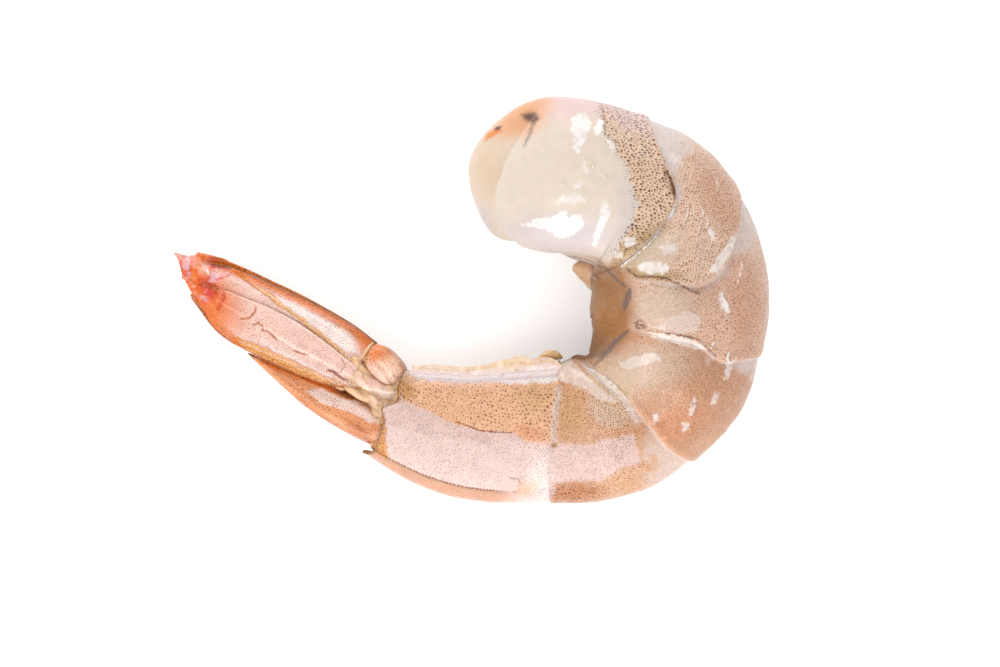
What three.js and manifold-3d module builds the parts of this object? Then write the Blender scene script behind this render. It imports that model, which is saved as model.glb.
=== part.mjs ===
// A raw tiger prawn tail, peeled down to its last segment and lying curled on its side.
//
// The flesh is one tapering solid that is swept along a curled spine, with the overlapping folds of its segments.
// The sixth segment keeps its shell, an open jacket round the flesh with a keel along the back, and behind it stands
// the closed tail fan: the telson, and on each side a base that carries an outer and an inner blade.
//
// Millimetres, +Z up, with the table at z = 0. "Near" is the flank that faces up, and "far" is the one on the table.

import * as THREE from "three";
import { mergeVertices } from "three/addons/utils/BufferGeometryUtils.js";
import Module from "manifold-3d";

// ---- Driving dimensions -------------------------------------------------------------------------------------------

const CURL_CENTRE = { x: 11.8, y: -0.4 }; // middle of the curl, seen from above
const CLEARANCE = 0.3; // between neighbouring pieces
const SHELL_WALL = 0.45; // jacket of the sixth segment
const UNDER_SHELL = 0.85; // from the jacket's outside to the flesh under it

// The spine, from the cut face to the tail: x and y from the curl's centre, height of the spine above the table,
// half the depth from back to belly, half the width from flank to flank, and how far the back rolls down, in degrees.
const STATIONS = [
  { x: -13.7, y: 15.6, z: 7.4, depth: 8.6, width: 7.6, roll: -14 },
  { x: -8.1, y: 16.0, z: 7.6, depth: 8.9, width: 7.9, roll: -10 },
  { x: -2.1, y: 16.0, z: 7.9, depth: 9.8, width: 8.2, roll: -5 },
  { x: 3.4, y: 15.1, z: 8.0, depth: 9.9, width: 8.4, roll: 4 },
  { x: 9.4, y: 12.8, z: 8.1, depth: 10.0, width: 8.5, roll: 14 },
  { x: 13.6, y: 7.9, z: 8.1, depth: 10.4, width: 8.6, roll: 26 },
  { x: 15.0, y: 0.4, z: 8.1, depth: 10.9, width: 8.7, roll: 37 },
  { x: 14.2, y: -5.6, z: 8.0, depth: 10.8, width: 8.6, roll: 35 },
  { x: 11.7, y: -10.3, z: 7.8, depth: 10.1, width: 8.3, roll: 26 },
  { x: 7.7, y: -13.9, z: 7.5, depth: 9.4, width: 7.9, roll: 9 },
  { x: 2.9, y: -15.6, z: 7.1, depth: 9.0, width: 7.3, roll: 3 },
  { x: -2.0, y: -16.0, z: 6.8, depth: 8.9, width: 6.7, roll: 1 },
  { x: -7.5, y: -16.1, z: 6.3, depth: 8.6, width: 6.1, roll: 0 },
  { x: -12.5, y: -15.9, z: 5.9, depth: 8.1, width: 5.6, roll: 0 },
  { x: -17.4, y: -14.9, z: 5.5, depth: 7.3, width: 5.0, roll: 0 },
  { x: -22.2, y: -13.4, z: 5.2, depth: 5.9, width: 4.3, roll: 0 },
  { x: -26.4, y: -11.4, z: 5.0, depth: 4.6, width: 3.6, roll: 0 },
];

// The section is a superellipse, rounder at the back than at the belly. It changes over these cosines of the turn.
const SECTION = { backPower: 2.15, bellyPower: 2.7, from: -0.4, to: 0.6 };

// The rear edge of each segment's skin, in stations, at even turns from the back round to the belly.
const EDGES = {
  cut: [1.85, 1.75, 1.55, 1.42, 1.36, 1.31, 1.3],
  first: [3.55, 3.6, 3.86, 4.38, 4.6, 4.8, 4.9],
  second: [4.7, 4.85, 5.12, 5.55, 5.76, 5.58, 5.45],
  third: [6.65, 6.72, 6.82, 6.96, 6.76, 6.78, 6.85],
  fourth: [8.5, 8.56, 8.66, 8.66, 8.72, 9.3, 9.6],
  fifth: [10.95, 10.94, 10.87, 10.76, 10.65, 10.59, 10.59],
  sixth: [14.7, 14.66, 14.62, 14.6, 14.55, 14.5, 14.5],
};
const FLANK = 3; // the flank's place in those lists
const CUT_SLANT = 0.93; // stations by which the cut face leans back on the near flank, and forward on the far one
const FLESH_AROUND = 40;

// A segment's fold: its depth and swell in mm, its run in stations, and where along the segment both run out.
const FOLD = { drop: 0.55, crown: 0.3, step: 0.045, dropTo: 0.42, crownTo: 1.05 };
const GRIP = { back: 0.55, flank: 1, belly: 0.2 }; // how strongly the folds show
const GRIP_RISE = { from: -0.9, to: 0.2 }; // cosines of the turn, from back to flank
const GRIP_FALL = { from: 0.5, to: 0.95 }; // and from flank to belly
const BELLY_GROOVE = { depth: 1.1, spread: 0.28, shallow: 0.5, at: 6, run: 2 };
// Where the belly swells inside the curl: station, spread in stations and height in mm.
const BELLY_SWELLS = [
  { at: 4.5, run: 0.5, rise: 0.8 },
  { at: 6.2, run: 1.4, rise: 1.0 },
  { at: 10.1, run: 0.6, rise: 0.7 },
];
const BELLY = { from: 0.45, to: 0.9 }; // cosines of the turn over which the swell rises
const CUT_DOME = { rise: 4.2, fullness: 2.3, roundness: 0.62 }; // how the cut muscle bulges
const CUT_GROOVE = { depth: 2.0, spread: 1.5, fade: 6 }; // between the two lobes of muscle
const JOINT = { dome: 1.9, nose: 4.6, spread: 0.45 }; // the soft joint behind the sixth segment

const JACKET = {
  lap: 0.05, to: 14.95, openAt: 154,
  keel: 0.4, keelSpread: 0.3, keelFrom: 0.05, keelTo: 0.4, spine: 0.25,
};
// The jacket's rear edge, in stations: it stands out in a lobe and back in a notch, at these turns in radians.
const LOBE = { reach: 0.2, at: 1.6, spread: 0.2 };
const NOTCH = { reach: -0.15, at: 1.95, spread: 0.2 };
const OPEN_BELLY = { from: -0.985, to: -0.93 }; // cosines of the turn between which the jacket leaves the flesh free
const PER_MM = { turn: 0.1, place: 0.2 }; // radians and stations in one millimetre of the jacket

// The tail fan has its own frame: a runs along the fan from its joint, b towards the belly, c towards the near flank.
const FAN = { x: -22.1, y: -13.4, z: 5.1, turn: 143.6, dip: 2.4 };
// Profiles are in mm at even steps from root to tip.
const TELSON = {
  from: -2.3, to: 18.9, bluntness: 16,
  back: [-4.6, -5.5, -5.9, -5.5, -4.9],
  belly: [-0.5, -0.7, -1.6, -3.2, -4.7],
  width: [2.9, 2.3, 1.6, 1.1, 0.25],
};
const BASE = { a: 3.8, b: 4.3, c: 2.1, long: 5.7, tall: 3.8, thick: 3.3, lean: 8, power: 2.7 };
const OUTER_BLADE = {
  root: 6.3, near: 30.8, far: 33.2, thick: 0.5, lift: 2.2, fall: 1.7, rib: 0.35,
  outer: [5.8, 5.9, 5.5, 4.95, 4.2, 3.45, 2.6, 1.3],
  inner: [2.3, 1.9, 1.7, 1.2, 0.4, -0.7, -1.9, -2.0],
};
const RIB = { b: 2.6, spread: 0.4 }; // along the outer blade
const INNER_BLADE = {
  root: 4.4, near: 30.0, far: 31.5, thick: 0.5, lift: 3.0, fall: 0.1, rib: 0,
  outer: [2.3, 2.2, 2.3, 2.2, 1.7, 0.8, -0.1, -1.4],
  inner: [0.3, -1.7, -2.9, -3.7, -4.5, -4.6, -3.5, -2.4],
};
const TIP = { rounding: 1.5, from: 0.75 }; // how far a blade's corners stand back, over the last part of its length
const BEND = { from: 0.35, power: 1.5, atTip: 0.45 }; // of a blade's outer margin, across it and along it
const SETTLE = { drop: 0.9, from: 0.4 }; // how far the blades close up towards their tips

// ---- Helpers ------------------------------------------------------------------------------------------------------

const wasm = await Module();
wasm.setup();

const radians = THREE.MathUtils.degToRad;
const mix = THREE.MathUtils.lerp;
const smooth = THREE.MathUtils.smoothstep;

/** Reads a smooth curve through evenly spaced vectors, at a place counted in points. */
function curveThrough(points) {
  const curve = new THREE.CatmullRomCurve3(points, false, "catmullrom", 0.5);
  return (place) => curve.getPoint(THREE.MathUtils.clamp(place / (points.length - 1), 0, 1));
}

/** Reads a smooth curve through evenly spaced numbers, from 0 at the first to 1 at the last. */
function profile(numbers) {
  const at = curveThrough(numbers.map((n, i) => new THREE.Vector3(i, n, 0)));
  return (share) => at(share * (numbers.length - 1)).y;
}

/** A closed body: a sphere's rings of vertices, each put where place(ring, turn) says, with a pole at both ends. */
function ringBody(around, rings, place) {
  const sphere = new THREE.SphereGeometry(1, around, rings);
  const spots = sphere.getAttribute("position");
  for (let i = 0; i < spots.count; i += 1) {
    const ring = Math.floor(i / (around + 1));
    const turn = ((i % (around + 1)) % around) / around;
    spots.setXYZ(i, ...place(ring, turn * 2 * Math.PI).toArray());
  }
  return closed(sphere);
}

/** A closed plate: a box's vertices, each put where place(across, through, along) says, all from 0 to 1. */
function plateBody(across, along, place) {
  const box = new THREE.BoxGeometry(1, 1, 1, across, 1, along);
  const spots = box.getAttribute("position");
  for (let i = 0; i < spots.count; i += 1) {
    spots.setXYZ(i, ...place(spots.getX(i) + 0.5, spots.getY(i) + 0.5, spots.getZ(i) + 0.5).toArray());
  }
  return closed(box);
}

/** Merges a geometry's shared vertices. */
function closed(geometry) {
  geometry.deleteAttribute("normal");
  geometry.deleteAttribute("uv");
  return mergeVertices(geometry, 1e-4);
}

/** Turns a closed geometry into a solid, facing out. */
function solidOf(geometry) {
  const vertProperties = new Float32Array(geometry.getAttribute("position").array);
  const triVerts = new Uint32Array(geometry.index.array);
  const solid = new wasm.Manifold(new wasm.Mesh({ numProp: 3, vertProperties, triVerts }));
  if (solid.volume() > 0) return solid;
  for (let i = 0; i < triVerts.length; i += 3) {
    [triVerts[i + 1], triVerts[i + 2]] = [triVerts[i + 2], triVerts[i + 1]];
  }
  return new wasm.Manifold(new wasm.Mesh({ numProp: 3, vertProperties, triVerts }));
}

/** Gives a solid back as a geometry. */
function geometryOf(solid) {
  const mesh = solid.getMesh();
  const geometry = new THREE.BufferGeometry();
  geometry.setAttribute("position", new THREE.BufferAttribute(new Float32Array(mesh.vertProperties), 3));
  geometry.setIndex(new THREE.BufferAttribute(new Uint32Array(mesh.triVerts), 1));
  geometry.computeVertexNormals();
  return geometry;
}

/** The largest body of a solid, without the scraps that a cut leaves. */
function mainBody(solid) {
  return solid.decompose().reduce((kept, body) => (body.volume() > kept.volume() ? body : kept));
}

/** A bell curve, 1 at its middle. */
function bell(value, middle, spread) {
  return Math.exp(-Math.pow((value - middle) / spread, 2));
}

/** One named mesh of the prawn. */
function piece(name, solid, material) {
  const mesh = new THREE.Mesh(geometryOf(solid), material);
  mesh.name = name;
  return mesh;
}

// ---- The spine ----------------------------------------------------------------------------------------------------

const spineAt = curveThrough(
  STATIONS.map((s) => new THREE.Vector3(CURL_CENTRE.x + s.x, CURL_CENTRE.y + s.y, s.z)),
);
const sizeAt = curveThrough(STATIONS.map((s) => new THREE.Vector3(s.depth, s.width, s.roll)));
const UP = new THREE.Vector3(0, 0, 1);

/** The section's frame at a place on the spine: its centre, and the ways to the tail, the back and the near flank. */
function frameAt(place) {
  const nudge = 0.01;
  const last = STATIONS.length - 1;
  const ahead = spineAt(Math.min(place + nudge, last));
  const tail = ahead.sub(spineAt(Math.max(place - nudge, 0))).normalize();
  const outward = new THREE.Vector3().crossVectors(UP, tail).normalize();
  const flank = new THREE.Vector3().crossVectors(tail, outward);
  const size = sizeAt(place);
  const roll = radians(size.z);
  return {
    centre: spineAt(place),
    tail,
    back: outward.clone().multiplyScalar(Math.cos(roll)).addScaledVector(flank, -Math.sin(roll)),
    near: flank.clone().multiplyScalar(Math.cos(roll)).addScaledVector(outward, Math.sin(roll)),
    depth: size.x,
    width: size.y,
  };
}

/** A point of the section: turn is 0 at the back, a quarter at the near flank and a half at the belly. */
function skinPoint(place, turn, offset) {
  const frame = frameAt(place);
  const [c, s] = [Math.cos(turn), Math.sin(turn)];
  const power = mix(SECTION.backPower, SECTION.bellyPower, smooth(-c, SECTION.from, SECTION.to));
  const reach = Math.pow(
    Math.pow(Math.abs(c) / frame.depth, power) + Math.pow(Math.abs(s) / frame.width, power),
    -1 / power,
  );
  return frame.centre
    .addScaledVector(frame.back, (reach + offset) * c)
    .addScaledVector(frame.near, (reach + offset) * s);
}

/** Where a segment's rear edge crosses the section's outline, in stations. */
function edgeAt(edge, turn) {
  const whole = 2 * Math.PI;
  const folded = Math.PI - Math.abs((((turn % whole) + whole) % whole) - Math.PI);
  return profile(edge)(folded / Math.PI);
}

/** Nothing of the prawn lies below the table: what would is pressed flat on it. */
function onTable(point) {
  point.z = Math.max(point.z, 0);
  return point;
}

// ---- The flesh ----------------------------------------------------------------------------------------------------

const NAMES = Object.keys(EDGES);
const BANDS = NAMES.slice(1).map((name, i) => ({ name, from: EDGES[NAMES[i]], to: EDGES[name] }));
const BAND_RINGS = 9;
const CUT_RINGS = 7;
const TAIL_RINGS = 6;
const JACKET_ACROSS = 36;
const JACKET_ALONG = 12;
const TELSON_AROUND = 12;
const TELSON_RINGS = 16;
const BASE_AROUND = 14;
const BASE_RINGS = 10;
const BLADE_ACROSS = 8;
const BLADE_ALONG = 20;

/** How far a segment's skin stands out of the plain section, share of the way along it. */
function relief(share, turn, place, isFirst) {
  const c = Math.cos(turn);
  const rise = mix(GRIP.back, GRIP.flank, smooth(-c, GRIP_RISE.from, GRIP_RISE.to));
  const grip = rise - (GRIP.flank - GRIP.belly) * smooth(-c, GRIP_FALL.from, GRIP_FALL.to);
  const front = isFirst ? 0 : -FOLD.drop * (1 - smooth(share, 0, FOLD.dropTo));
  const crown = FOLD.crown * Math.sin(Math.PI * Math.min(1, share * FOLD.crownTo));
  const swell = BELLY_SWELLS.reduce((sum, part) => sum + part.rise * bell(place, part.at, part.run), 0);
  const fade = 1 - BELLY_GROOVE.shallow * bell(place, BELLY_GROOVE.at, BELLY_GROOVE.run);
  const groove = BELLY_GROOVE.depth * bell(turn, Math.PI, BELLY_GROOVE.spread) * fade;
  return (front + crown) * grip + swell * smooth(-c, BELLY.from, BELLY.to) - groove;
}

/** A point of the flesh's skin in one segment. */
function fleshPoint(band, share, turn, grow) {
  const plain = mix(edgeAt(band.from, turn), edgeAt(band.to, turn), share);
  if (band.name === "sixth") {
    const covered = UNDER_SHELL * smooth(Math.cos(turn), OPEN_BELLY.from, OPEN_BELLY.to);
    return skinPoint(plain + FOLD.step * (1 - share), turn, grow - covered);
  }
  const isFirst = band.name === "first";
  const lead = isFirst ? CUT_SLANT * Math.sin(turn) : FOLD.step;
  const place = plain + lead * (1 - share);
  return skinPoint(place, turn, relief(share, turn, place, isFirst) + grow);
}

/** A point of the cut face: two lobes of muscle with a groove between them. */
function cutPoint(share, turn, grow) {
  const rim = fleshPoint(BANDS[0], 0, turn, grow);
  const frame = frameAt(EDGES.cut[FLANK]);
  const out = rim.clone().sub(frame.centre);
  const side = out.dot(frame.near) * share;
  const height = out.dot(frame.back) * share;
  const dome = CUT_DOME.rise * Math.pow(1 - Math.pow(share, CUT_DOME.fullness), CUT_DOME.roundness);
  const parting = bell(side, 0, CUT_GROOVE.spread) * smooth(height, -frame.depth, 1);
  const groove = CUT_GROOVE.depth * parting * (1 - Math.pow(share, CUT_GROOVE.fade));
  return frame.centre.lerp(rim, share).addScaledVector(frame.tail, groove - dome);
}

/** A point of the rounded joint behind the sixth segment. */
function jointPoint(share, turn, grow) {
  const rim = fleshPoint(BANDS.at(-1), 1, turn, grow);
  const frame = frameAt(EDGES.sixth[FLANK]);
  const nose = fanPoint(1, 0, 0).sub(fanPoint(0, 0, 0));
  return frame.centre
    .lerp(rim, share)
    .addScaledVector(frame.tail, JOINT.dome * Math.sqrt(1 - share * share) + grow)
    .addScaledVector(nose, JOINT.nose * bell(share, 0, JOINT.spread));
}

/** The peeled flesh from the cut face to the tail's joint, larger all round by grow. */
function flesh(grow = 0) {
  const rings = CUT_RINGS + BANDS.length * (BAND_RINGS + 1) + TAIL_RINGS - 1;
  const place = (ring, turn) => {
    if (ring < CUT_RINGS) return cutPoint(ring / CUT_RINGS, turn, grow);
    const along = ring - CUT_RINGS;
    const band = Math.floor(along / (BAND_RINGS + 1));
    if (band < BANDS.length) {
      return fleshPoint(BANDS[band], (along % (BAND_RINGS + 1)) / BAND_RINGS, turn, grow);
    }
    return jointPoint((rings - ring) / TAIL_RINGS, turn, grow);
  };
  return solidOf(ringBody(FLESH_AROUND, rings, (ring, turn) => onTable(place(ring, turn))));
}

// ---- The sixth segment's shell ------------------------------------------------------------------------------------

/** The shell round the sixth segment, open along the belly, with a keel that ends in a spine over the tail. */
function jacket(grow = 0) {
  const open = radians(JACKET.openAt) + grow * PER_MM.turn;
  return solidOf(
    plateBody(JACKET_ACROSS, JACKET_ALONG, (across, through, along) => {
      const turn = mix(-open, open, across);
      const away = Math.abs(turn);
      const keel = bell(away, 0, JACKET.keelSpread);
      const ragged = [LOBE, NOTCH].reduce((sum, part) => sum + part.reach * bell(away, part.at, part.spread), 0);
      const rear = JACKET.to + JACKET.spine * keel + ragged + grow * PER_MM.place;
      const ridge = JACKET.keel * smooth(along, JACKET.keelFrom, JACKET.keelTo) * keel;
      const height = through * (SHELL_WALL + ridge + 2 * grow) - SHELL_WALL - grow;
      return onTable(skinPoint(mix(edgeAt(EDGES.fifth, turn) + JACKET.lap, rear, along), turn, height));
    }),
  );
}

// ---- The tail fan -------------------------------------------------------------------------------------------------

/** Carries a point from the fan's own frame to the prawn's. */
function fanPoint(a, b, c) {
  const turn = radians(FAN.turn);
  const dip = radians(FAN.dip);
  const along = new THREE.Vector3(Math.cos(turn) * Math.cos(dip), Math.sin(turn) * Math.cos(dip), -Math.sin(dip));
  const belly = new THREE.Vector3(Math.sin(turn), -Math.cos(turn), 0);
  const near = new THREE.Vector3().crossVectors(belly, along);
  if (near.z < 0) near.negate();
  return new THREE.Vector3(CURL_CENTRE.x + FAN.x, CURL_CENTRE.y + FAN.y, FAN.z)
    .addScaledVector(along, a)
    .addScaledVector(belly, b)
    .addScaledVector(near, c);
}

/** The telson: a long spike, wide at its joint, that comes to a point. */
function telson(grow = 0) {
  const back = profile(TELSON.back);
  const belly = profile(TELSON.belly);
  const width = profile(TELSON.width);
  return solidOf(
    ringBody(TELSON_AROUND, TELSON_RINGS, (ring, turn) => {
      const share = ring / TELSON_RINGS;
      const open = ring % TELSON_RINGS === 0 ? 0 : 1; // both ends close to a point
      const blunt = Math.sqrt(1 - Math.pow(2 * share - 1, TELSON.bluntness));
      const tall = (((belly(share) - back(share)) / 2) * blunt + grow) * open;
      const half = (width(share) * blunt + grow) * open;
      const middle = (belly(share) + back(share)) / 2;
      const a = mix(TELSON.from - grow, TELSON.to + grow, share);
      return onTable(fanPoint(a, middle - Math.cos(turn) * tall, Math.sin(turn) * half));
    }),
  );
}

/** The base that carries one side's two blades, a squarish lump: side is 1 near and -1 far. */
function bladeBase(side, grow = 0) {
  const lean = radians(BASE.lean);
  const squared = (value) => Math.sign(value) * Math.pow(Math.abs(value), 2 / BASE.power);
  return solidOf(
    ringBody(BASE_AROUND, BASE_RINGS, (ring, turn) => {
      const swing = (Math.PI * ring) / BASE_RINGS;
      const round = squared(Math.sin(swing));
      const long = -squared(Math.cos(swing)) * (BASE.long / 2 + grow);
      const tall = round * squared(Math.cos(turn)) * (BASE.tall / 2 + grow);
      const thick = round * squared(Math.sin(turn)) * (BASE.thick / 2 + grow);
      const a = BASE.a + long * Math.cos(lean) - tall * Math.sin(lean);
      const b = BASE.b + long * Math.sin(lean) + tall * Math.cos(lean);
      return onTable(fanPoint(a, b, side * (BASE.c + thick)));
    }),
  );
}

/** One blade of the fan, a thin leaf whose outer margin bends towards the other side's. */
function blade(size, side, grow = 0) {
  const outer = profile(size.outer);
  const inner = profile(size.inner);
  const tip = side > 0 ? size.near : size.far;
  return solidOf(
    plateBody(BLADE_ACROSS, BLADE_ALONG, (across, through, along) => {
      const b = mix(inner(along) - grow, outer(along) + grow, across);
      const corner = Math.pow(2 * across - 1, 2);
      const a = mix(size.root - grow, tip + grow, along) - TIP.rounding * corner * smooth(along, TIP.from, 1);
      const bend = size.fall * Math.pow(smooth(across, BEND.from, 1), BEND.power) * mix(1, BEND.atTip, along);
      const settle = SETTLE.drop * smooth(along, SETTLE.from, 1);
      const rib = through > 0.5 ? size.rib * bell(b, RIB.b, RIB.spread) * (1 - along) : 0;
      const face = (through - 0.5) * (size.thick + 2 * grow) + rib;
      return onTable(fanPoint(a, b, side * (size.lift - bend - settle + face)));
    }),
  );
}

// ---- The prawn ----------------------------------------------------------------------------------------------------

const paint = (color, roughness) => new THREE.MeshStandardMaterial({ color, roughness, metalness: 0 });
const FLESH_PAINT = paint(0xe3cdb9, 0.35);
const SHELL_PAINT = paint(0xdcaf92, 0.25);
const BLADE_PAINT = paint(0xe2a184, 0.25);

const prawn = new THREE.Group();
prawn.add(piece("flesh", flesh(), FLESH_PAINT));
prawn.add(piece("sixth_shell", jacket(), SHELL_PAINT));

const fleshAndGap = flesh(CLEARANCE);
const shellAndGap = jacket(CLEARANCE);
const spike = mainBody(telson().subtract(fleshAndGap).subtract(shellAndGap));
prawn.add(piece("telson", spike, SHELL_PAINT));

for (const [name, side] of [["near", 1], ["far", -1]]) {
  const base = mainBody(bladeBase(side).subtract(fleshAndGap).subtract(shellAndGap));
  const inner = mainBody(blade(INNER_BLADE, side).subtract(bladeBase(side, CLEARANCE)));
  const outer = mainBody(blade(OUTER_BLADE, side).subtract(bladeBase(side, CLEARANCE)));
  prawn.add(piece(`${name}_base`, base, BLADE_PAINT));
  prawn.add(piece(`${name}_inner_blade`, inner, BLADE_PAINT));
  prawn.add(piece(`${name}_outer_blade`, outer, BLADE_PAINT));
}

export default prawn;
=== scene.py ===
"""A raw tiger prawn tail, peeled down to its last segment and curled on a pale table.

The fixed frame gives the solids. This script dresses them: the wet, dotted flesh with its overlapping folds,
the shell of the sixth segment, the closed tail fan, and the soft tissue and fine bristles between them.

Sizes are in millimetres, +Z up, with the table at z = 0; a mesh is turned into metres as it is placed.
"Near" is the flank that faces up and "far" the one on the table.
"""

import logging
import math
from collections.abc import Callable
from dataclasses import dataclass, field
from enum import Enum
from itertools import product
from typing import ClassVar

import bpy
import numpy as np
from mathutils import Matrix

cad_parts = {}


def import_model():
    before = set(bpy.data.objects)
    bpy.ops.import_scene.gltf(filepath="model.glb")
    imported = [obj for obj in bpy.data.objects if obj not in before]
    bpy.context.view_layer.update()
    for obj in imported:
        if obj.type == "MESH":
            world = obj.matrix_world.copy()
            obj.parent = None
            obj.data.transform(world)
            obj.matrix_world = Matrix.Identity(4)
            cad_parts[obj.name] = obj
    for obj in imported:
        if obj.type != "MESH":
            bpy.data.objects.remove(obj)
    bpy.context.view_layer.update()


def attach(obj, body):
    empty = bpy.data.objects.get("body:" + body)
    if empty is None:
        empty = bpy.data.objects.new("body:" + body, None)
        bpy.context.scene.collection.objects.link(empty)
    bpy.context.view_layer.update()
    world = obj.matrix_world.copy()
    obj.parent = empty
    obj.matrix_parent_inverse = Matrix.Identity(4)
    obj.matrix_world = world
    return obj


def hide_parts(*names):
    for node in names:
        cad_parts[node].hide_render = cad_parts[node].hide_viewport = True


log = logging.getLogger("prawn")

Array = np.ndarray
Points = tuple[tuple[float, float], ...]
Rows = tuple[tuple[float, ...], ...]
MM = 0.001  # metres in a millimetre
EYE = (3.625, -4.0625, 355.0)  # the camera's place, in millimetres
FAR_OFF = 9.0  # a distance in millimetres at which a line leaves no mark
CREASE = math.radians(50)  # a thin sheet's faces that meet more sharply keep a hard edge
LIGHT_GAIN = 1.35  # how much brighter than its own colour a white card lies under the studio's light


class Tone(Enum):
    """The prawn's colours, as a display shows them; some have light or shade painted into them."""

    MUSCLE = "e6d5c4"
    MUSCLE_GREY = "d3c7ca"
    CREAM = "e9d4c0"
    CREAM_DEEP = "e4cbb0"
    PINK_BACK = "eaccc8"
    PEACH = "eeb083"
    VEIN = "5e4036"
    STREAK = "ea8c3c"
    FACET = "dfcfc9"
    GLINT = "fffaf6"
    # a pale pinkish white that stands for the softboxes' reflection: a painted highlight
    FILM = "e9ddd7"
    SKIN_FIRST = "e6c4a8"
    SKIN_OLIVE = "bd9c6c"
    SKIN_SECOND = "e8c5ad"
    SKIN_BROWN = "d39c7a"
    SKIN_CLEAR = "dac4b0"
    SKIN_THIRD = "e4bba2"
    SKIN_FOURTH = "cf9c7a"
    SKIN_GREEN = "d8b790"
    SKIN_ORANGE = "dc946c"
    SKIN_FIFTH = "dba983"
    SKIN_OCHRE = "d3a873"
    SKIN_RUST = "b4682e"
    UNDER_SHELL = "edc6a6"
    # the belly's own brown, darkened by painted shade
    BELLY = "a6703a"
    DOT = "461600"
    DOT_BLACK = "4c2308"
    DOT_FINE = "7e3f18"
    DOT_STRAY = "6e6a70"
    DOT_FAN = "8c3a0a"
    DOT_PALE = "8a6460"
    BORDER_SOFT = "7d5430"
    NERVE = "5c5058"
    BORDER = "5a2a10"
    # the shell's pale pinkish colour with the softboxes' reflection painted into it: a painted sheen
    SHELL = "e3c3b9"
    SHELL_TAN = "eeb890"
    SHELL_RIM = "d0987a"
    SHELL_CORNER = "d88a08"
    SHELL_EDGE = "94600e"
    SHELL_GOLD = "b07426"
    FAN = "f8cfc0"
    FAN_ORANGE = "f07a14"
    FAN_TAN = "f4a470"
    FAN_BASE = "fcc8a4"
    FAN_BROWN = "b9652e"
    FAN_DARK = "863a14"
    # the blades' pale plate colour, used also as their painted highlight
    FAN_PALE = "fdebe4"
    # a pale pinkish tone that stands for the telson's highlight: a painted highlight
    FAN_CLEAR = "fcdccf"
    FAN_RIB = "e8a652"
    FAN_RED = "e84a0c"
    FAN_EMBER = "dc440a"
    FAN_DEEP = "b8341a"
    FAN_PURPLE = "8e2c0a"
    FAN_PINK = "f4bcc0"
    FAN_MAUVE = "d8404c"
    FAN_PEACH = "f28448"
    STRIP = "f0ceb4"
    # the pinkish white of the strip's lying part, a painted highlight
    STRIP_WHITE = "fedcd4"
    FAN_FRINGE = "f4aa54"
    TISSUE = "e6ba92"
    BEAD = "fed4a0"
    TISSUE_DEEP = "b9822c"
    BRISTLE = "8a5a36"


def albedo(tone: Tone) -> Array:
    """The surface colour that looks like a tone once the studio's light is on it.

    Args:
        tone: one of the prawn's colours.

    Returns:
        Linear red, green, blue and one.
    """
    display = np.array([int(tone.value[i : i + 2], 16) for i in (0, 2, 4)]) / 255
    linear = np.where(display <= 0.04045, display / 12.92, ((display + 0.055) / 1.055) ** 2.4)
    return np.append(linear / LIGHT_GAIN, 1.0)


# ---- Numbers and curves --------------------------------------------------------------------------


def smooth(value: Array, low: float, high: float) -> Array:
    """Rises smoothly from 0 at low to 1 at high."""
    share = np.clip((value - low) / (high - low), 0.0, 1.0)
    return share * share * (3 - 2 * share)


def bell(value: Array, middle: float, spread: float) -> Array:
    """A bell of height 1 round a middle."""
    return np.exp(-(((value - middle) / spread) ** 2))


def mix(start: Array, end: Array, share: Array) -> Array:
    """Goes in a straight line from start to end."""
    return start + (end - start) * share


def folded(turn: Array) -> Array:
    """Carries turns round the far flank onto the near one, in radians."""
    return np.where(turn > math.pi, 2 * math.pi - turn, turn)


def curve_at(points: Array, place: Array) -> Array:
    """Reads a smooth curve through evenly spaced points.

    Args:
        points: one row for each point.
        place: where to read it, counted in points.

    Returns:
        One row for each place.
    """
    last = len(points) - 1
    ends = (2 * points[0] - points[1], 2 * points[-1] - points[-2])
    padded = np.vstack([ends[0], points, ends[1]])
    place = np.clip(place, 0, last)
    index = np.minimum(place.astype(int), last - 1)
    t = (place - index)[:, None]
    before, start, end, after = (padded[index + step] for step in range(4))
    lead = (end - before) / 2
    trail = (after - start) / 2
    rise = end - start
    return start + lead * t + (3 * rise - 2 * lead - trail) * t**2 + (lead + trail - 2 * rise) * t**3


def profile_at(numbers: tuple[float, ...], share: Array) -> Array:
    """Reads a smooth curve through evenly spaced numbers, from 0 at the first to 1 at the last."""
    points = np.array(numbers, float)[:, None]
    return curve_at(points, share * (len(numbers) - 1))[:, 0]


def lumps(spots: Array, size: float, seed: int) -> Array:
    """Smooth random lumps, the same on every run.

    Args:
        spots: one row of coordinates for each place.
        size: how far apart the lumps are, in the units of the spots.
        seed: picks another set of lumps.

    Returns:
        A height between -1 and 1 for each place.
    """
    cells = spots / size
    corner = np.floor(cells)
    inside = cells - corner
    inside = inside * inside * (3 - 2 * inside)
    primes = (73856093, 19349663, 83492791)
    total = np.zeros(len(spots))
    for step in product((0, 1), repeat=spots.shape[1]):
        key = np.full(len(spots), seed * 7919, dtype=np.int64)
        weight = np.ones(len(spots))
        for axis, ahead in enumerate(step):
            key ^= (corner[:, axis].astype(np.int64) + ahead) * primes[axis]
            weight *= inside[:, axis] if ahead else 1 - inside[:, axis]
        key = ((key ^ (key >> 13)) * 1274126177) & 0xFFFFFFFF
        total += weight * (((key ^ (key >> 16)) & 0xFFFF) / 32767.5 - 1)
    return total


# ---- Painting on a chart -------------------------------------------------------------------------


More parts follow.
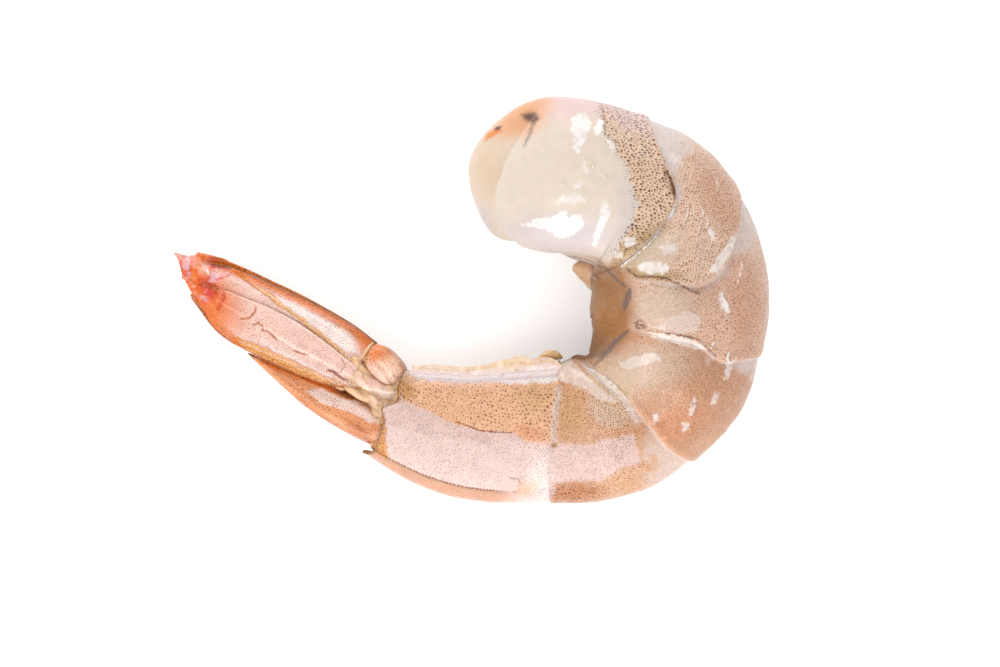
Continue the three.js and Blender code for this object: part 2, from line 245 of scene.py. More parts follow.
@dataclass(frozen=True)
class Wash:
    """A soft oval of one tone on a chart in millimetres."""

    tone: Tone
    middle: tuple[float, float]
    half: tuple[float, float]
    lean: float = 0.0
    strength: float = 1.0
    soft: float = 0.6

    def weight(self, chart: Array) -> Array:
        """How strongly the oval covers each place of the chart."""
        turn = math.radians(self.lean)
        away = chart - np.array(self.middle)
        along = (away[:, 0] * math.cos(turn) + away[:, 1] * math.sin(turn)) / self.half[0]
        across = (away[:, 1] * math.cos(turn) - away[:, 0] * math.sin(turn)) / self.half[1]
        return self.strength * (1 - smooth(np.hypot(along, across), 1 - self.soft, 1 + self.soft))


@dataclass(frozen=True)
class Trail:
    """A line of straight stretches on a chart in millimetres, which thins towards its ends if it tapers."""

    points: Points
    width: float = 0.2
    taper: float = 0.0  # how much further off the line seems at its ends, in millimetres

    def gap(self, chart: Array) -> Array:
        """How far each place of the chart is from the line's edge, and less than nothing on the line."""
        nearest = np.full(len(chart), np.inf)
        knots = np.array(self.points)
        stretches = len(knots) - 1
        for index, (start, end) in enumerate(zip(knots[:-1], knots[1:])):
            run = end - start
            share = np.clip(((chart - start) @ run) / (run @ run), 0, 1)
            away = chart - (start + share[:, None] * run)
            thin = self.taper * np.abs(2 * (index + share) / stretches - 1) ** 3
            nearest = np.minimum(nearest, np.hypot(away[:, 0], away[:, 1]) + thin)
        return nearest - self.width


@dataclass(frozen=True)
class Outline:
    """A closed outline on a chart in millimetres."""

    points: Points

    def depth(self, chart: Array) -> Array:
        """How far inside the outline each place of the chart is, and less than nothing outside."""
        ring = self.points + self.points[:1]
        away = Trail(ring, 0.0).gap(chart)
        inside = np.zeros(len(chart), bool)
        for (x1, y1), (x2, y2) in zip(ring[:-1], ring[1:]):
            crosses = (y1 > chart[:, 1]) != (y2 > chart[:, 1])
            rise = (y2 - y1) or 1e-9
            inside ^= crosses & (chart[:, 0] < (x2 - x1) * (chart[:, 1] - y1) / rise + x1)
        return np.where(inside, away, -away)


@dataclass(frozen=True)
class Stroke:
    """A soft-edged line of one tone on a chart in millimetres."""

    tone: Tone
    points: Points
    width: float = 0.15
    strength: float = 0.9
    soft: float = 0.1
    taper: float = 0.0

    def weight(self, chart: Array) -> Array:
        """How strongly the line covers each place of the chart."""
        gap = Trail(self.points, self.width, self.taper).gap(chart)
        return self.strength * (1 - smooth(gap, -self.soft, self.soft))


@dataclass(frozen=True)
class Patch:
    """A soft-edged area of one tone on a chart in millimetres."""

    tone: Tone
    points: Points
    strength: float = 0.9
    soft: float = 0.2

    def weight(self, chart: Array) -> Array:
        """How strongly the area covers each place of the chart."""
        return self.strength * smooth(Outline(self.points).depth(chart), -self.soft, self.soft)


Marks = tuple[Wash | Stroke | Patch, ...]


def painted(chart: Array, base: Array, washes: Marks, wander: float = 0.0) -> Array:
    """Lays washes, strokes and patches over a base colour, in order.

    Args:
        chart: where each vertex lies on the chart.
        base: the colour under the washes, for each vertex or for all.
        washes: what is laid over it.
        wander: how far their edges stray, in millimetres.

    Returns:
        A colour for each vertex.
    """
    colours = np.broadcast_to(base, (len(chart), 4)).copy()
    stray = [lumps(chart, 0.8, 81 + axis) + 0.6 * lumps(chart, 0.35, 83 + axis) for axis in (0, 1)]
    chart = chart + wander * np.column_stack(stray)
    for wash in washes:
        colours = mix(colours, albedo(wash.tone), wash.weight(chart)[:, None])
    return colours


def nearest_gap(trails: tuple[Trail, ...], chart: Array) -> Array:
    """How far each place of the chart is from the nearest of several trails."""
    return np.min([trail.gap(chart) for trail in trails], axis=0)


# ---- Meshes --------------------------------------------------------------------------------------


def only(obj: bpy.types.Object) -> None:
    """Leaves one object selected and active."""
    bpy.ops.object.select_all(action="DESELECT")
    obj.select_set(True)
    bpy.context.view_layer.objects.active = obj


def added(name: str, add: Callable[..., set[str]], **settings: float | str | tuple) -> bpy.types.Object:
    """Adds one of Blender's own shapes, lights or cameras and names it."""
    bpy.ops.object.select_all(action="DESELECT")
    add(**settings)
    obj = bpy.context.object
    obj.name = name
    return obj


def sphere_piece(name: str, around: int, rings: int) -> tuple[bpy.types.Object, Array, Array]:
    """Adds a unit sphere whose vertices are to be moved.

    Args:
        name: the piece's name.
        around: how many vertices a ring has.
        rings: how many steps there are from pole to pole.

    Returns:
        The object, and each vertex's ring and turn in radians.
    """
    obj = added(name, bpy.ops.mesh.primitive_uv_sphere_add, segments=around, ring_count=rings, radius=1)
    obj.data.name = name
    spots = vertex_spots(obj)
    ring = np.rint(np.arccos(np.clip(spots[:, 2], -1, 1)) * rings / math.pi)
    step = 2 * math.pi / around
    turn = (np.rint(np.arctan2(spots[:, 1], spots[:, 0]) / step) * step) % (2 * math.pi)
    return obj, ring, turn


def grid_piece(name: str, across: int, along: int) -> tuple[bpy.types.Object, Array, Array]:
    """Adds a flat grid whose vertices are to be moved.

    Args:
        name: the piece's name.
        across: how many cells there are across.
        along: how many cells there are along.

    Returns:
        The object, and each vertex's share across and along.
    """
    obj = added(name, bpy.ops.mesh.primitive_grid_add, x_subdivisions=across, y_subdivisions=along, size=1)
    obj.data.name = name
    spots = vertex_spots(obj)
    return obj, spots[:, 0] + 0.5, spots[:, 1] + 0.5


def vertex_spots(obj: bpy.types.Object) -> Array:
    """The vertices of an object as an array of rows."""
    spots = np.zeros(len(obj.data.vertices) * 3, np.float32)
    obj.data.vertices.foreach_get("co", spots)
    return spots.reshape(-1, 3).astype(float)


def place_vertices(obj: bpy.types.Object, spots: Array) -> None:
    """Moves an object's vertices to places in millimetres, none below the table, and shades it smooth."""
    spots = spots.copy()
    spots[:, 2] = np.maximum(spots[:, 2], 0)
    obj.data.vertices.foreach_set("co", (spots * MM).astype(np.float32).ravel())
    obj.data.update()
    only(obj)
    bpy.ops.object.mode_set(mode="EDIT")
    bpy.ops.mesh.select_all(action="SELECT")
    bpy.ops.mesh.normals_make_consistent(inside=False)
    bpy.ops.object.mode_set(mode="OBJECT")
    bpy.ops.object.shade_smooth()


def flip_if(obj: bpy.types.Object, wrong: bool) -> None:
    """Turns an open sheet's faces round if they point the wrong way."""
    if not wrong:
        return
    only(obj)
    bpy.ops.object.mode_set(mode="EDIT")
    bpy.ops.mesh.select_all(action="SELECT")
    bpy.ops.mesh.flip_normals()
    bpy.ops.object.mode_set(mode="OBJECT")


def modify(obj: bpy.types.Object, kind: str, **settings: float | int | str | bool) -> None:
    """Adds a modifier to an object and applies it."""
    only(obj)
    modifier = obj.modifiers.new(kind.title(), kind)
    for name, value in settings.items():
        setattr(modifier, name, value)
    bpy.ops.object.modifier_apply(modifier=modifier.name)


def thicken(obj: bpy.types.Object, wall: float, offset: float = -1.0) -> None:
    """Gives an open sheet its wall, in millimetres: inward, or to both sides if the offset is nothing."""
    modify(obj, "SOLIDIFY", thickness=wall * MM, offset=offset)
    bpy.ops.object.shade_smooth_by_angle(angle=CREASE)


def keep_number(obj: bpy.types.Object, name: str, values: Array) -> None:
    """Keeps a number for each vertex as an attribute."""
    attribute = obj.data.attributes.new(name, "FLOAT", "POINT")
    attribute.data.foreach_set("value", np.asarray(values, np.float32))


def keep_colour(obj: bpy.types.Object, name: str, colours: Array) -> None:
    """Keeps a colour for each vertex as an attribute."""
    attribute = obj.data.attributes.new(name, "FLOAT_COLOR", "POINT")
    attribute.data.foreach_set("color", np.asarray(colours, np.float32).ravel())


def keep_dots(
    obj: bpy.types.Object,
    radius: Array | float,
    amount: Array | float,
    speck: Array | float,
    gap: Array | float = FAR_OFF,
) -> None:
    """Keeps what the shell finish draws its dots and dark lines from.

    Args:
        obj: the piece.
        radius: the large dots' radius, in millimetres.
        amount: how strong the large dots are.
        speck: how strong the fine dots are.
        gap: how far it is to the nearest dark line, in millimetres.
    """
    numbers = {"spot_radius": radius, "spot_amount": amount, "speck_amount": speck, "border_gap": gap}
    for name, value in numbers.items():
        keep_number(obj, name, np.broadcast_to(value, len(obj.data.vertices)))


def keep_chart(obj: bpy.types.Object, along: Array, across: Array) -> None:
    """Keeps where each vertex lies on the flat chart of its dots, in millimetres."""
    attribute = obj.data.attributes.new("dot_chart", "FLOAT_VECTOR", "POINT")
    rows = np.column_stack([along, across, np.zeros(len(along))])
    attribute.data.foreach_set("vector", np.asarray(rows, np.float32).ravel())


def settle(obj: bpy.types.Object, material: bpy.types.Material, slot: str, *nodes: str) -> bpy.types.Object:
    """Gives a piece its material and its body, and hides the solids that it stands for.

    Args:
        obj: the finished piece.
        material: its only material.
        slot: not used.
        nodes: the solids that it replaces.

    Returns:
        The same piece.
    """
    obj.data.materials.clear()
    obj.data.materials.append(material)
    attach(obj, "root")
    if nodes:
        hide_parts(*nodes)
    log.info("%s: %d faces, stands for %s", obj.name, len(obj.data.polygons), ", ".join(nodes) or "nothing")
    return obj


# ---- The spine -----------------------------------------------------------------------------------


@dataclass
class Spine:
    """The curled line through the tail, and the section that is swept along it.

    A station holds x and y from the curl's centre, the height of the spine, half the depth from back to
    belly, half the width from flank to flank, and how far the back rolls down, in degrees.
    """

    centre: tuple[float, float] = (11.8, -0.4)
    stations: Rows = (
        (-13.7, 15.6, 7.4, 8.6, 7.6, -14),
        (-8.1, 16.0, 7.6, 8.9, 7.9, -10),
        (-2.1, 16.0, 7.9, 9.8, 8.2, -5),
        (3.4, 15.1, 8.0, 9.9, 8.4, 4),
        (9.4, 12.8, 8.1, 10.0, 8.5, 14),
        (13.6, 7.9, 8.1, 10.4, 8.6, 26),
        (15.0, 0.4, 8.1, 10.9, 8.7, 37),
        (14.2, -5.6, 8.0, 10.8, 8.6, 35),
        (11.7, -10.3, 7.8, 10.1, 8.3, 26),
        (7.7, -13.9, 7.5, 9.4, 7.9, 9),
        (2.9, -15.6, 7.1, 9.0, 7.3, 3),
        (-2.0, -16.0, 6.8, 8.9, 6.7, 1),
        (-7.5, -16.1, 6.3, 8.6, 6.1, 0),
        (-12.5, -15.9, 5.9, 8.1, 5.6, 0),
        (-17.4, -14.9, 5.5, 7.3, 5.0, 0),
        (-22.2, -13.4, 5.2, 5.9, 4.3, 0),
        (-26.4, -11.4, 5.0, 4.6, 3.6, 0),
    )
    back_power: float = 2.15  # a round back
    belly_power: float = 2.7  # a squarer belly
    chart_height: float = 8.0

    def __post_init__(self) -> None:
        """Keeps the stations as arrays."""
        rows = np.array(self.stations, float)
        self.line = rows[:, :3] + np.array([*self.centre, 0.0])
        self.sizes = rows[:, 3:]

    def frame(self, place: Array) -> tuple[Array, Array, Array, Array, Array]:
        """Reads the section's frame.

        Args:
            place: where on the spine, counted in stations.

        Returns:
            The centre, the way to the tail, the way to the back, the way to the near flank, and the sizes.
        """
        nudge = 0.01
        last = len(self.stations) - 1
        ahead = curve_at(self.line, np.minimum(place + nudge, last))
        behind = curve_at(self.line, np.maximum(place - nudge, 0))
        tail = ahead - behind
        tail /= np.linalg.norm(tail, axis=1, keepdims=True)
        outward = np.cross([0.0, 0.0, 1.0], tail)
        outward /= np.linalg.norm(outward, axis=1, keepdims=True)
        flank = np.cross(tail, outward)
        sizes = curve_at(self.sizes, place)
        roll = np.radians(sizes[:, 2:3])
        back = outward * np.cos(roll) - flank * np.sin(roll)
        near = flank * np.cos(roll) + outward * np.sin(roll)
        return curve_at(self.line, place), tail, back, near, sizes

    def skin(self, place: Array, turn: Array, offset: Array) -> Array:
        """Points of the section's outline.

        Args:
            place: where on the spine, counted in stations.
            turn: 0 at the back, a quarter turn at the near flank and a half turn at the belly, in radians.
            offset: how far the point stands out of the outline.

        Returns:
            One row for each point.
        """
        centre, _, back, near, sizes = self.frame(place)
        c, s = np.cos(turn), np.sin(turn)
        power = mix(self.back_power, self.belly_power, smooth(-c, -0.4, 0.6))
        reach = (np.abs(c / sizes[:, 0]) ** power + np.abs(s / sizes[:, 1]) ** power) ** (-1 / power)
        return centre + back * ((reach + offset) * c)[:, None] + near * ((reach + offset) * s)[:, None]

    def chart(self, place: Array, turn: Array) -> Array:
        """Where points of the outline lie on the flat chart that the colours are laid out on.

        The chart is the prawn as it looks from straight above, at the height of its middle. The far flank
        takes the place of the near one, so that both carry the same marks.

        Args:
            place: where on the spine, counted in stations.
            turn: round the section, in radians.

        Returns:
            One row of x and y for each point.
        """
        return self.seen(self.skin(place, folded(turn), np.zeros(len(place))))

    def girth(self, place: float, turn: Array) -> Array:
        """How far it is along the section's outline from the back to each turn, in millimetres."""
        turns = np.linspace(0, math.pi, 91)
        outline = self.skin(np.full(len(turns), place), turns, np.zeros(len(turns)))
        reached = np.append(0, np.cumsum(np.linalg.norm(np.diff(outline, axis=0), axis=1)))
        return np.interp(turn, turns, reached)

    def seen(self, spots: Array) -> Array:
        """Carries points to the chart's height along the line of sight."""
        eye = np.array(EYE)
        share = (eye[2] - self.chart_height) / (eye[2] - spots[:, 2:3])
        return eye[:2] + (spots[:, :2] - eye[:2]) * share


# ---- The flesh -----------------------------------------------------------------------------------


@dataclass(frozen=True)
class Edge:
    """Where a segment's rear edge crosses the outline, in stations, at even turns from back to belly."""

    places: tuple[float, ...]

    def at(self, turn: Array) -> Array:
        """The edge's place for each turn round the section, in radians."""
        from_back = math.pi - np.abs(turn % (2 * math.pi) - math.pi)
        return profile_at(self.places, from_back / math.pi)

    @property
    def flank(self) -> float:
        """The edge's place on the flank."""
        return self.places[len(self.places) // 2]


@dataclass(frozen=True)
class Segment:
    """One segment's skin, and the pale wedge at its back that its neighbour used to cover."""

    edge: Edge
    rings: int
    tone: Tone
    wedge: float  # share of the segment that is pale at the back
    paleness: float  # how pale it is there
    spot: float  # radius of its dots, in mm


@dataclass(frozen=True)
class SheenFilm:
    """An area of wet membrane: a glossier coat, and a painted highlight of the given whiteness."""

    white: float
    points: Points


@dataclass
class Flesh:
    """The peeled flesh, from the cut face to the tail's joint."""

    spine: Spine
    around: int = 208
    cut_rings: int = 46
    joint_rings: int = 14
    cut: Edge = Edge((1.85, 1.75, 1.55, 1.42, 1.36, 1.31, 1.3))
    segments: tuple[Segment, ...] = (
        Segment(Edge((3.55, 3.6, 3.86, 4.38, 4.6, 4.8, 4.9)), 84, Tone.SKIN_FIRST, 0.0, 0.0, 0.125),
        Segment(Edge((4.7, 4.85, 5.12, 5.55, 5.76, 5.58, 5.45)), 52, Tone.SKIN_SECOND, 0.33, 0.95, 0.078),
        Segment(Edge((6.65, 6.72, 6.82, 6.96, 6.76, 6.78, 6.85)), 60, Tone.SKIN_THIRD, 0.22, 0.8, 0.075),
        Segment(Edge((8.5, 8.56, 8.66, 8.66, 8.72, 9.3, 9.6)), 62, Tone.SKIN_FOURTH, 0.14, 0.8, 0.072),
        Segment(
            Edge((11.03, 11.02, 10.95, 10.84, 10.73, 10.67, 10.67)), 64, Tone.SKIN_FIFTH, 0.21, 0.6, 0.078,
        ),
        Segment(Edge((14.7, 14.66, 14.62, 14.6, 14.55, 14.5, 14.5)), 34, Tone.UNDER_SHELL, 0.0, 0.0, 0.06),
    )
    cut_slant: float = 0.93
    fold_drop: float = 0.55
    fold_crown: float = 0.3
    fold_step: float = 0.045
    seam_step: float = 0.004  # at the sixth segment, beside its shell
    lip: float = 0.1
    belly_groove: tuple[float, float] = (1.1, 0.28)  # depth, and spread in radians
    under_shell: float = 0.85
    belly_swells: Rows = ((1.0, 6.2, 1.4), (0.7, 10.1, 0.6), (0.8, 4.5, 0.5))  # height, station and spread
    cut_dome: float = 4.2
    cut_groove: tuple[float, float] = (2.0, 1.5)  # depth and spread between the two lobes
    joint_dome: float = 1.9
    joint_nose: tuple[float, float] = (4.6, 0.45)  # reach and spread
    lump: Rows = ((5.0, 0.12), (2.2, 0.09), (0.9, 0.03))  # size and height
    cone: float = 0.7  # how much of a turn the cone for the dots unrolls into
    cone_out: float = 6.7  # how far its middle lies outside the spine
    chart_gap: float = 61.7  # how far apart two segments lie on the chart of dots

    far_lobe: Marks = (
        Wash(Tone.CREAM, (1.6, 14.0), (4.2, 10.0), -6, 1.0, 0.25),
        Wash(Tone.CREAM_DEEP, (3.0, 17.0), (2.6, 3.6), -20, 0.9),
        Wash(Tone.CREAM, (5.0, 19.5), (2.0, 2.4), -30, 0.8),
        Wash(Tone.MUSCLE_GREY, (1.0, 9.4), (2.0, 2.6), 0, 0.6),
    )
    clearings: tuple[tuple, ...] = (  # where there are fewer dots: middle, half sizes and lean
        ((23.2, 5.8), (3.4, 2.0), 30),
        ((23.6, -0.8), (3.8, 2.4), 0),
        ((20.4, -8.0), (4.4, 2.2), 10),
        ((24.0, -19.0), (3.0, 2.4), -40),
        ((13.0, -9.0), (4.0, 1.2), -20),
    )
    cut_marks: Marks = (
        Wash(Tone.PEACH, (6.2, 22.8), (3.4, 2.0), 25, 0.9),
        Patch(
            Tone.VEIN, ((6.2, 23.3), (7.2, 23.5), (8.3, 23.4), (8.5, 22.6), (7.6, 22.0), (6.8, 22.6)), 0.9,
            0.3,
        ),
        Stroke(Tone.VEIN, ((8.0, 22.4), (7.5, 21.2), (6.9, 20.0), (6.6, 19.2)), 0.14, 0.7, 0.25, 0.15),
        Patch(Tone.STREAK, ((1.6, 20.0), (2.0, 21.0), (3.6, 21.6), (3.9, 21.2), (2.8, 20.4)), 0.95, 0.25),
        Wash(Tone.VEIN, (3.4, 21.5), (0.5, 0.25), 20, 0.95, 0.5),
    )
    near_lobe: Marks = (
        Wash(Tone.MUSCLE_GREY, (11.2, 8.4), (7.2, 2.6), 0, 0.8),
        Wash(Tone.MUSCLE_GREY, (20.0, 10.5), (1.6, 4.5), 10, 0.5),
        Wash(Tone.PINK_BACK, (11.0, 25.0), (9.0, 2.4), -4, 0.9),
        Wash(Tone.PEACH, (7.6, 24.2), (2.6, 1.2), 20, 0.6),
    )
    # where the key softbox's reflection lies on the fifth segment, painted in the shell's sheen tone: a
    # painted highlight
    highlight: ClassVar[Points] = (
        (9.0, -18.0), (13.6, -17.9), (17.6, -17.1), (20.3, -16.7), (20.6, -17.9), (21.1, -18.4),
        (21.0, -20.2), (19.0, -20.7), (16.3, -22.4), (13.6, -22.6), (9.0, -22.8),
    )
    skin_washes: Marks = (
        Wash(Tone.PINK_BACK, (19.8, 23.4), (5.5, 1.8), -25, 0.8),
        Wash(Tone.SKIN_OLIVE, (21.2, 6.6), (3.4, 1.8), 42, 0.95),
        Patch(
            Tone.BORDER_SOFT, ((24.1, 16.8), (24.9, 15.2), (25.7, 13.6), (25.5, 12.6), (24.6, 14.2)), 1.0,
            0.3,
        ),
        Wash(Tone.SKIN_BROWN, (31.5, 12.4), (5.2, 2.4), -58, 0.55),
        Wash(Tone.SKIN_CLEAR, (23.2, 6.0), (3.2, 1.9), 30, 0.8),
        Wash(Tone.SKIN_OLIVE, (22.6, 3.3), (3.8, 0.7), -4, 0.8),
        Wash(Tone.SKIN_BROWN, (34.6, -2.2), (6.0, 2.2), 92, 0.6),
        Wash(Tone.SKIN_CLEAR, (23.8, -0.6), (3.8, 2.6), 0, 0.7),
        Wash(Tone.SKIN_GREEN, (17.8, -10.2), (3.0, 2.4), -20, 0.8),
        Wash(Tone.SKIN_CLEAR, (22.0, -8.4), (5.6, 2.8), 10, 0.65),
        Wash(Tone.SKIN_ORANGE, (25.4, -15.4), (3.4, 1.9), 35, 0.6),
        Wash(Tone.SKIN_CLEAR, (17.0, -14.0), (2.6, 1.4), -20, 0.6),
        Wash(Tone.SKIN_BROWN, (21.4, -15.9), (1.2, 0.9), -30, 0.8),
        # a painted highlight below the crease
        Stroke(Tone.FILM, ((14.0, -8.0), (16.4, -9.8), (18.6, -12.0), (20.6, -15.0)), 0.35, 0.7, 0.4),
        Wash(Tone.SKIN_OCHRE, (12.5, -13.9), (1.8, 2.6), 10, 0.65, 0.7),
        Stroke(Tone.SKIN_BROWN, ((11.5, -16.9), (16.0, -16.7), (20.4, -16.2)), 0.2, 0.7, 0.3),
        Patch(Tone.SHELL, highlight, 0.97, 0.2),
        Wash(Tone.SKIN_RUST, (12.4, -24.0), (3.8, 1.3), 4, 0.7, 0.5),
    )
    # whitish streaks along the seam between shell and flesh, which also paint out the seam's shade line, and
    # a painted highlight (GLINT) at the seam's lower end
    seam_washes: Marks = (
        Stroke(Tone.FACET, ((10.9, -11.0), (10.5, -14.0), (10.4, -17.6)), 0.35, 0.75, 0.4),
        Stroke(Tone.FACET, ((9.6, -22.8), (9.0, -25.2)), 0.8, 0.85, 0.7),
        Wash(Tone.SHELL_EDGE, (10.3, -17.8), (0.35, 0.3), 0, 0.9, 0.5),
        Wash(Tone.GLINT, (8.6, -21.4), (1.3, 2.2), -8, 0.35, 0.9),
    )
    first_skin: Outline = Outline(
        (
            (15.8, 26.0), (16.4, 23.0), (16.6, 20.8), (18.4, 18.3), (19.9, 15.6), (20.8, 12.6), (20.6, 9.6),
            (19.0, 7.6), (17.6, 5.0), (20.5, 0.0), (31.0, 5.0), (31.0, 26.0),
        )
    )
    nerve: tuple[Trail, ...] = (
        Trail(((15.2, 4.6), (16.8, 4.1), (18.1, 2.8), (19.2, 1.9), (19.8, 1.5)), 0.2, 0.3),
        Trail(((19.9, 1.7), (19.6, 0.4), (19.0, -1.2)), 0.4, 0.35),
        Trail(((19.7, -3.6), (18.1, -5.1), (16.8, -6.6), (15.2, -8.2)), 0.3, 0.25),
        Trail(((9.6, 6.3), (12.0, 5.6), (13.8, 5.3), (15.4, 4.8)), 0.07, 0.1),
    )
    border: tuple[Trail, ...] = (
        Trail(((16.4, 24.0), (16.8, 20.6), (18.4, 18.6)), 0.06),
        Trail(((23.9, 17.6), (24.4, 16.2), (25.0, 14.9), (25.6, 13.4), (25.2, 12.2)), 0.06, 0.1),
        Trail(((19.8, 4.2), (21.0, 3.1), (22.6, 3.1), (24.4, 2.9), (26.0, 2.0), (28.6, 0.9)), 0.12),
        Trail(
            ((21.0, -2.9), (21.4, -2.5), (22.0, -2.7), (22.1, -3.3), (21.6, -3.6), (21.1, -3.4),
            (21.0, -2.9)), 0.1,
        ),
        Trail(((21.5, -3.0), (21.7, -3.1)), 0.14),
        Trail(((24.6, -4.1), (28.2, -4.7), (30.6, -7.0)), 0.1),
    )
    membranes: tuple[Trail, ...] = (
        Trail(((12.3, -7.3), (14.6, -8.3), (17.3, -10.0), (19.0, -11.6), (20.3, -13.3)), 0.05, 0.2),
        Trail(((16.2, -9.6), (18.2, -10.8), (19.6, -12.9)), 0.04, 0.2),
        Trail(((25.8, 13.6), (25.7, 12.2), (25.1, 10.8), (24.2, 10.0)), 0.1, 0.2),
        Trail(((23.6, 8.6), (22.2, 7.1), (20.6, 5.6), (19.3, 4.6), (18.9, 3.0)), 0.13, 0.2),
        Trail(((30.2, 15.6), (30.8, 14.4), (30.6, 12.8)), 0.05, 0.2),
        Trail(((28.4, 12.6), (28.9, 10.8), (28.2, 8.2), (27.8, 6.0)), 0.05, 0.2),
        Trail(((27.3, 12.6), (27.0, 10.6), (26.2, 8.6)), 0.05, 0.2),
        Trail(((15.3, 17.1), (15.2, 16.3)), 0.05, 0.1),
        Trail(((15.8, 16.1), (16.9, 15.5)), 0.06, 0.1),
        Trail(((11.2, 14.8), (11.9, 14.6)), 0.05, 0.1),
        Trail(((32.2, 7.8), (31.9, 6.6), (31.0, 5.6), (30.2, 4.6)), 0.08, 0.25),
        Trail(((33.7, 5.4), (33.9, 4.4), (33.5, 2.8), (33.0, 1.0)), 0.07, 0.25),
        Trail(((31.2, 1.2), (31.5, 0.2), (31.9, -0.6), (32.0, -1.4)), 0.12, 0.3),
        Trail(((20.4, -3.8), (23.0, -4.1), (25.6, -4.3), (28.4, -5.0)), 0.06, 0.2),
        Trail(((32.6, -5.6), (31.9, -7.0), (32.2, -7.8), (31.2, -9.4)), 0.1, 0.3),
        Trail(((30.6, -4.8), (30.0, -5.6), (29.6, -6.2)), 0.1, 0.3),
        Trail(((28.0, -12.0), (27.7, -13.4), (27.3, -14.6)), 0.07, 0.25),
        Trail(((29.2, 11.0), (29.4, 9.6), (29.0, 8.6)), 0.05, 0.25),
        Trail(((31.0, 9.6), (30.6, 8.8)), 0.07, 0.25),
    )

    # wet membranes: each gets a glossier coat and a painted highlight, whiter where white is higher
    sheen_films: tuple[SheenFilm, ...] = (
        SheenFilm(
            0.95, ((6.2, 9.5), (8.2, 10.2), (10.0, 10.3), (11.1, 11.0), (12.0, 11.1), (12.0, 10.4),
            (13.3, 10.8), (14.1, 10.2), (13.8, 9.2), (12.6, 8.3), (11.3, 7.8), (10.3, 8.2), (9.6, 8.8),
            (8.1, 9.3)),
        ),
        SheenFilm(
            0.5, ((10.6, 12.2), (11.4, 13.2), (12.6, 13.5), (13.8, 13.3), (14.3, 12.5), (13.0, 12.2),
            (11.8, 12.5)),
        ),
        SheenFilm(
            0.75, ((15.2, 7.0), (15.4, 8.3), (15.9, 9.7), (16.2, 10.7), (16.3, 12.2), (16.9, 12.7),
            (17.5, 11.9), (17.6, 11.0), (17.0, 10.2), (16.5, 9.3), (16.1, 8.2), (15.6, 6.9)),
        ),
        SheenFilm(
            0.95, ((12.4, 21.0), (12.6, 22.6), (13.3, 23.4), (14.3, 23.2), (15.0, 22.3), (14.8, 21.2),
            (14.3, 20.2), (13.9, 18.9), (13.3, 18.3), (12.8, 19.3), (13.0, 20.2)),
        ),
        SheenFilm(0.9, ((15.2, 20.8), (15.5, 21.7), (16.0, 22.7), (16.5, 22.3), (16.4, 21.5), (15.9, 20.6))),
        SheenFilm(0.8, ((16.9, 20.0), (17.8, 19.7), (18.3, 18.9), (17.6, 18.6))),
        SheenFilm(0.6, ((14.0, 17.4), (14.5, 17.2), (14.6, 15.9), (14.1, 16.2))),
        SheenFilm(0.6, ((12.6, 14.2), (13.4, 15.0), (14.0, 14.8), (13.6, 14.2))),
        SheenFilm(
            0.75, ((21.2, 4.6), (22.2, 5.0), (24.5, 4.7), (24.9, 3.9), (23.8, 3.4), (22.2, 3.4),
            (21.4, 3.8)),
        ),
        SheenFilm(0.4, ((23.8, 6.8), (25.5, 7.3), (25.7, 6.2), (24.3, 5.8))),
        SheenFilm(0.75, ((29.3, 9.0), (30.0, 9.2), (30.4, 7.8), (30.0, 7.5))),
        SheenFilm(
            0.7, ((29.6, 3.5), (30.2, 4.6), (31.2, 5.8), (32.0, 7.0), (32.8, 8.5), (33.1, 7.8),
            (32.6, 6.3), (31.8, 5.1), (30.8, 3.6)),
        ),
        SheenFilm(0.85, ((31.0, 1.0), (31.4, 1.0), (32.1, -1.4), (31.6, -1.7), (31.1, -0.6))),
        SheenFilm(
            0.15, ((22.8, -3.2), (24.2, -3.1), (25.1, -1.9), (27.2, -1.2), (28.6, -1.7), (28.4, -3.8),
            (25.6, -4.1)),
        ),
        SheenFilm(
            0.4, ((22.6, -4.4), (24.2, -4.3), (26.1, -4.6), (28.8, -5.3), (29.4, -6.2), (27.5, -5.9),
            (24.2, -4.8)),
        ),
        SheenFilm(
            0.2, ((18.7, -7.7), (20.6, -7.0), (22.6, -6.5), (24.3, -6.7), (23.7, -7.4), (21.8, -8.0),
            (20.0, -8.6), (18.9, -8.6)),
        ),
        SheenFilm(
            0.3, ((9.0, -7.0), (12.3, -7.4), (13.6, -8.7), (15.0, -9.9), (17.0, -11.5), (18.3, -12.4),
            (17.6, -12.7), (16.0, -12.4), (14.3, -11.4), (11.6, -10.2), (9.0, -9.9)),
        ),
        SheenFilm(0.6, ((31.6, -9.9), (32.1, -8.6), (32.6, -7.2), (33.0, -7.2), (32.8, -8.4), (32.0, -9.9))),
        SheenFilm(0.6, ((27.2, -14.1), (27.3, -12.9), (27.8, -12.0), (28.1, -12.3), (27.7, -13.8))),
        SheenFilm(0.5, ((29.8, -12.8), (30.0, -11.9), (30.6, -11.2), (30.9, -11.6), (30.4, -12.6))),
        SheenFilm(0.7, ((22.7, -14.2), (23.3, -14.3), (23.4, -15.2), (22.9, -15.3))),
        SheenFilm(0.6, ((26.2, -15.3), (27.2, -15.0), (27.2, -15.9), (26.5, -16.3))),
        SheenFilm(0.7, ((19.2, 8.1), (20.7, 8.1), (20.9, 7.3), (19.6, 7.0))),
        SheenFilm(0.6, ((18.2, 6.6), (19.4, 6.4), (19.3, 5.8), (18.3, 5.9))),
    )
    ventral: Outline = Outline(
        (
            (11.8, 5.2), (14.9, 4.4), (16.5, 3.3), (18.4, 1.4), (19.4, 0.5), (18.9, -1.4), (18.9, -3.6),
            (16.8, -6.1), (15.1, -8.1), (12.4, -7.9), (11.1, -7.0), (8.0, -3.0), (8.0, 5.0),
        )
    )

    def __post_init__(self) -> None:
        """Counts the rings."""
        self.rings = self.cut_rings + sum(s.rings + 1 for s in self.segments) + self.joint_rings - 1

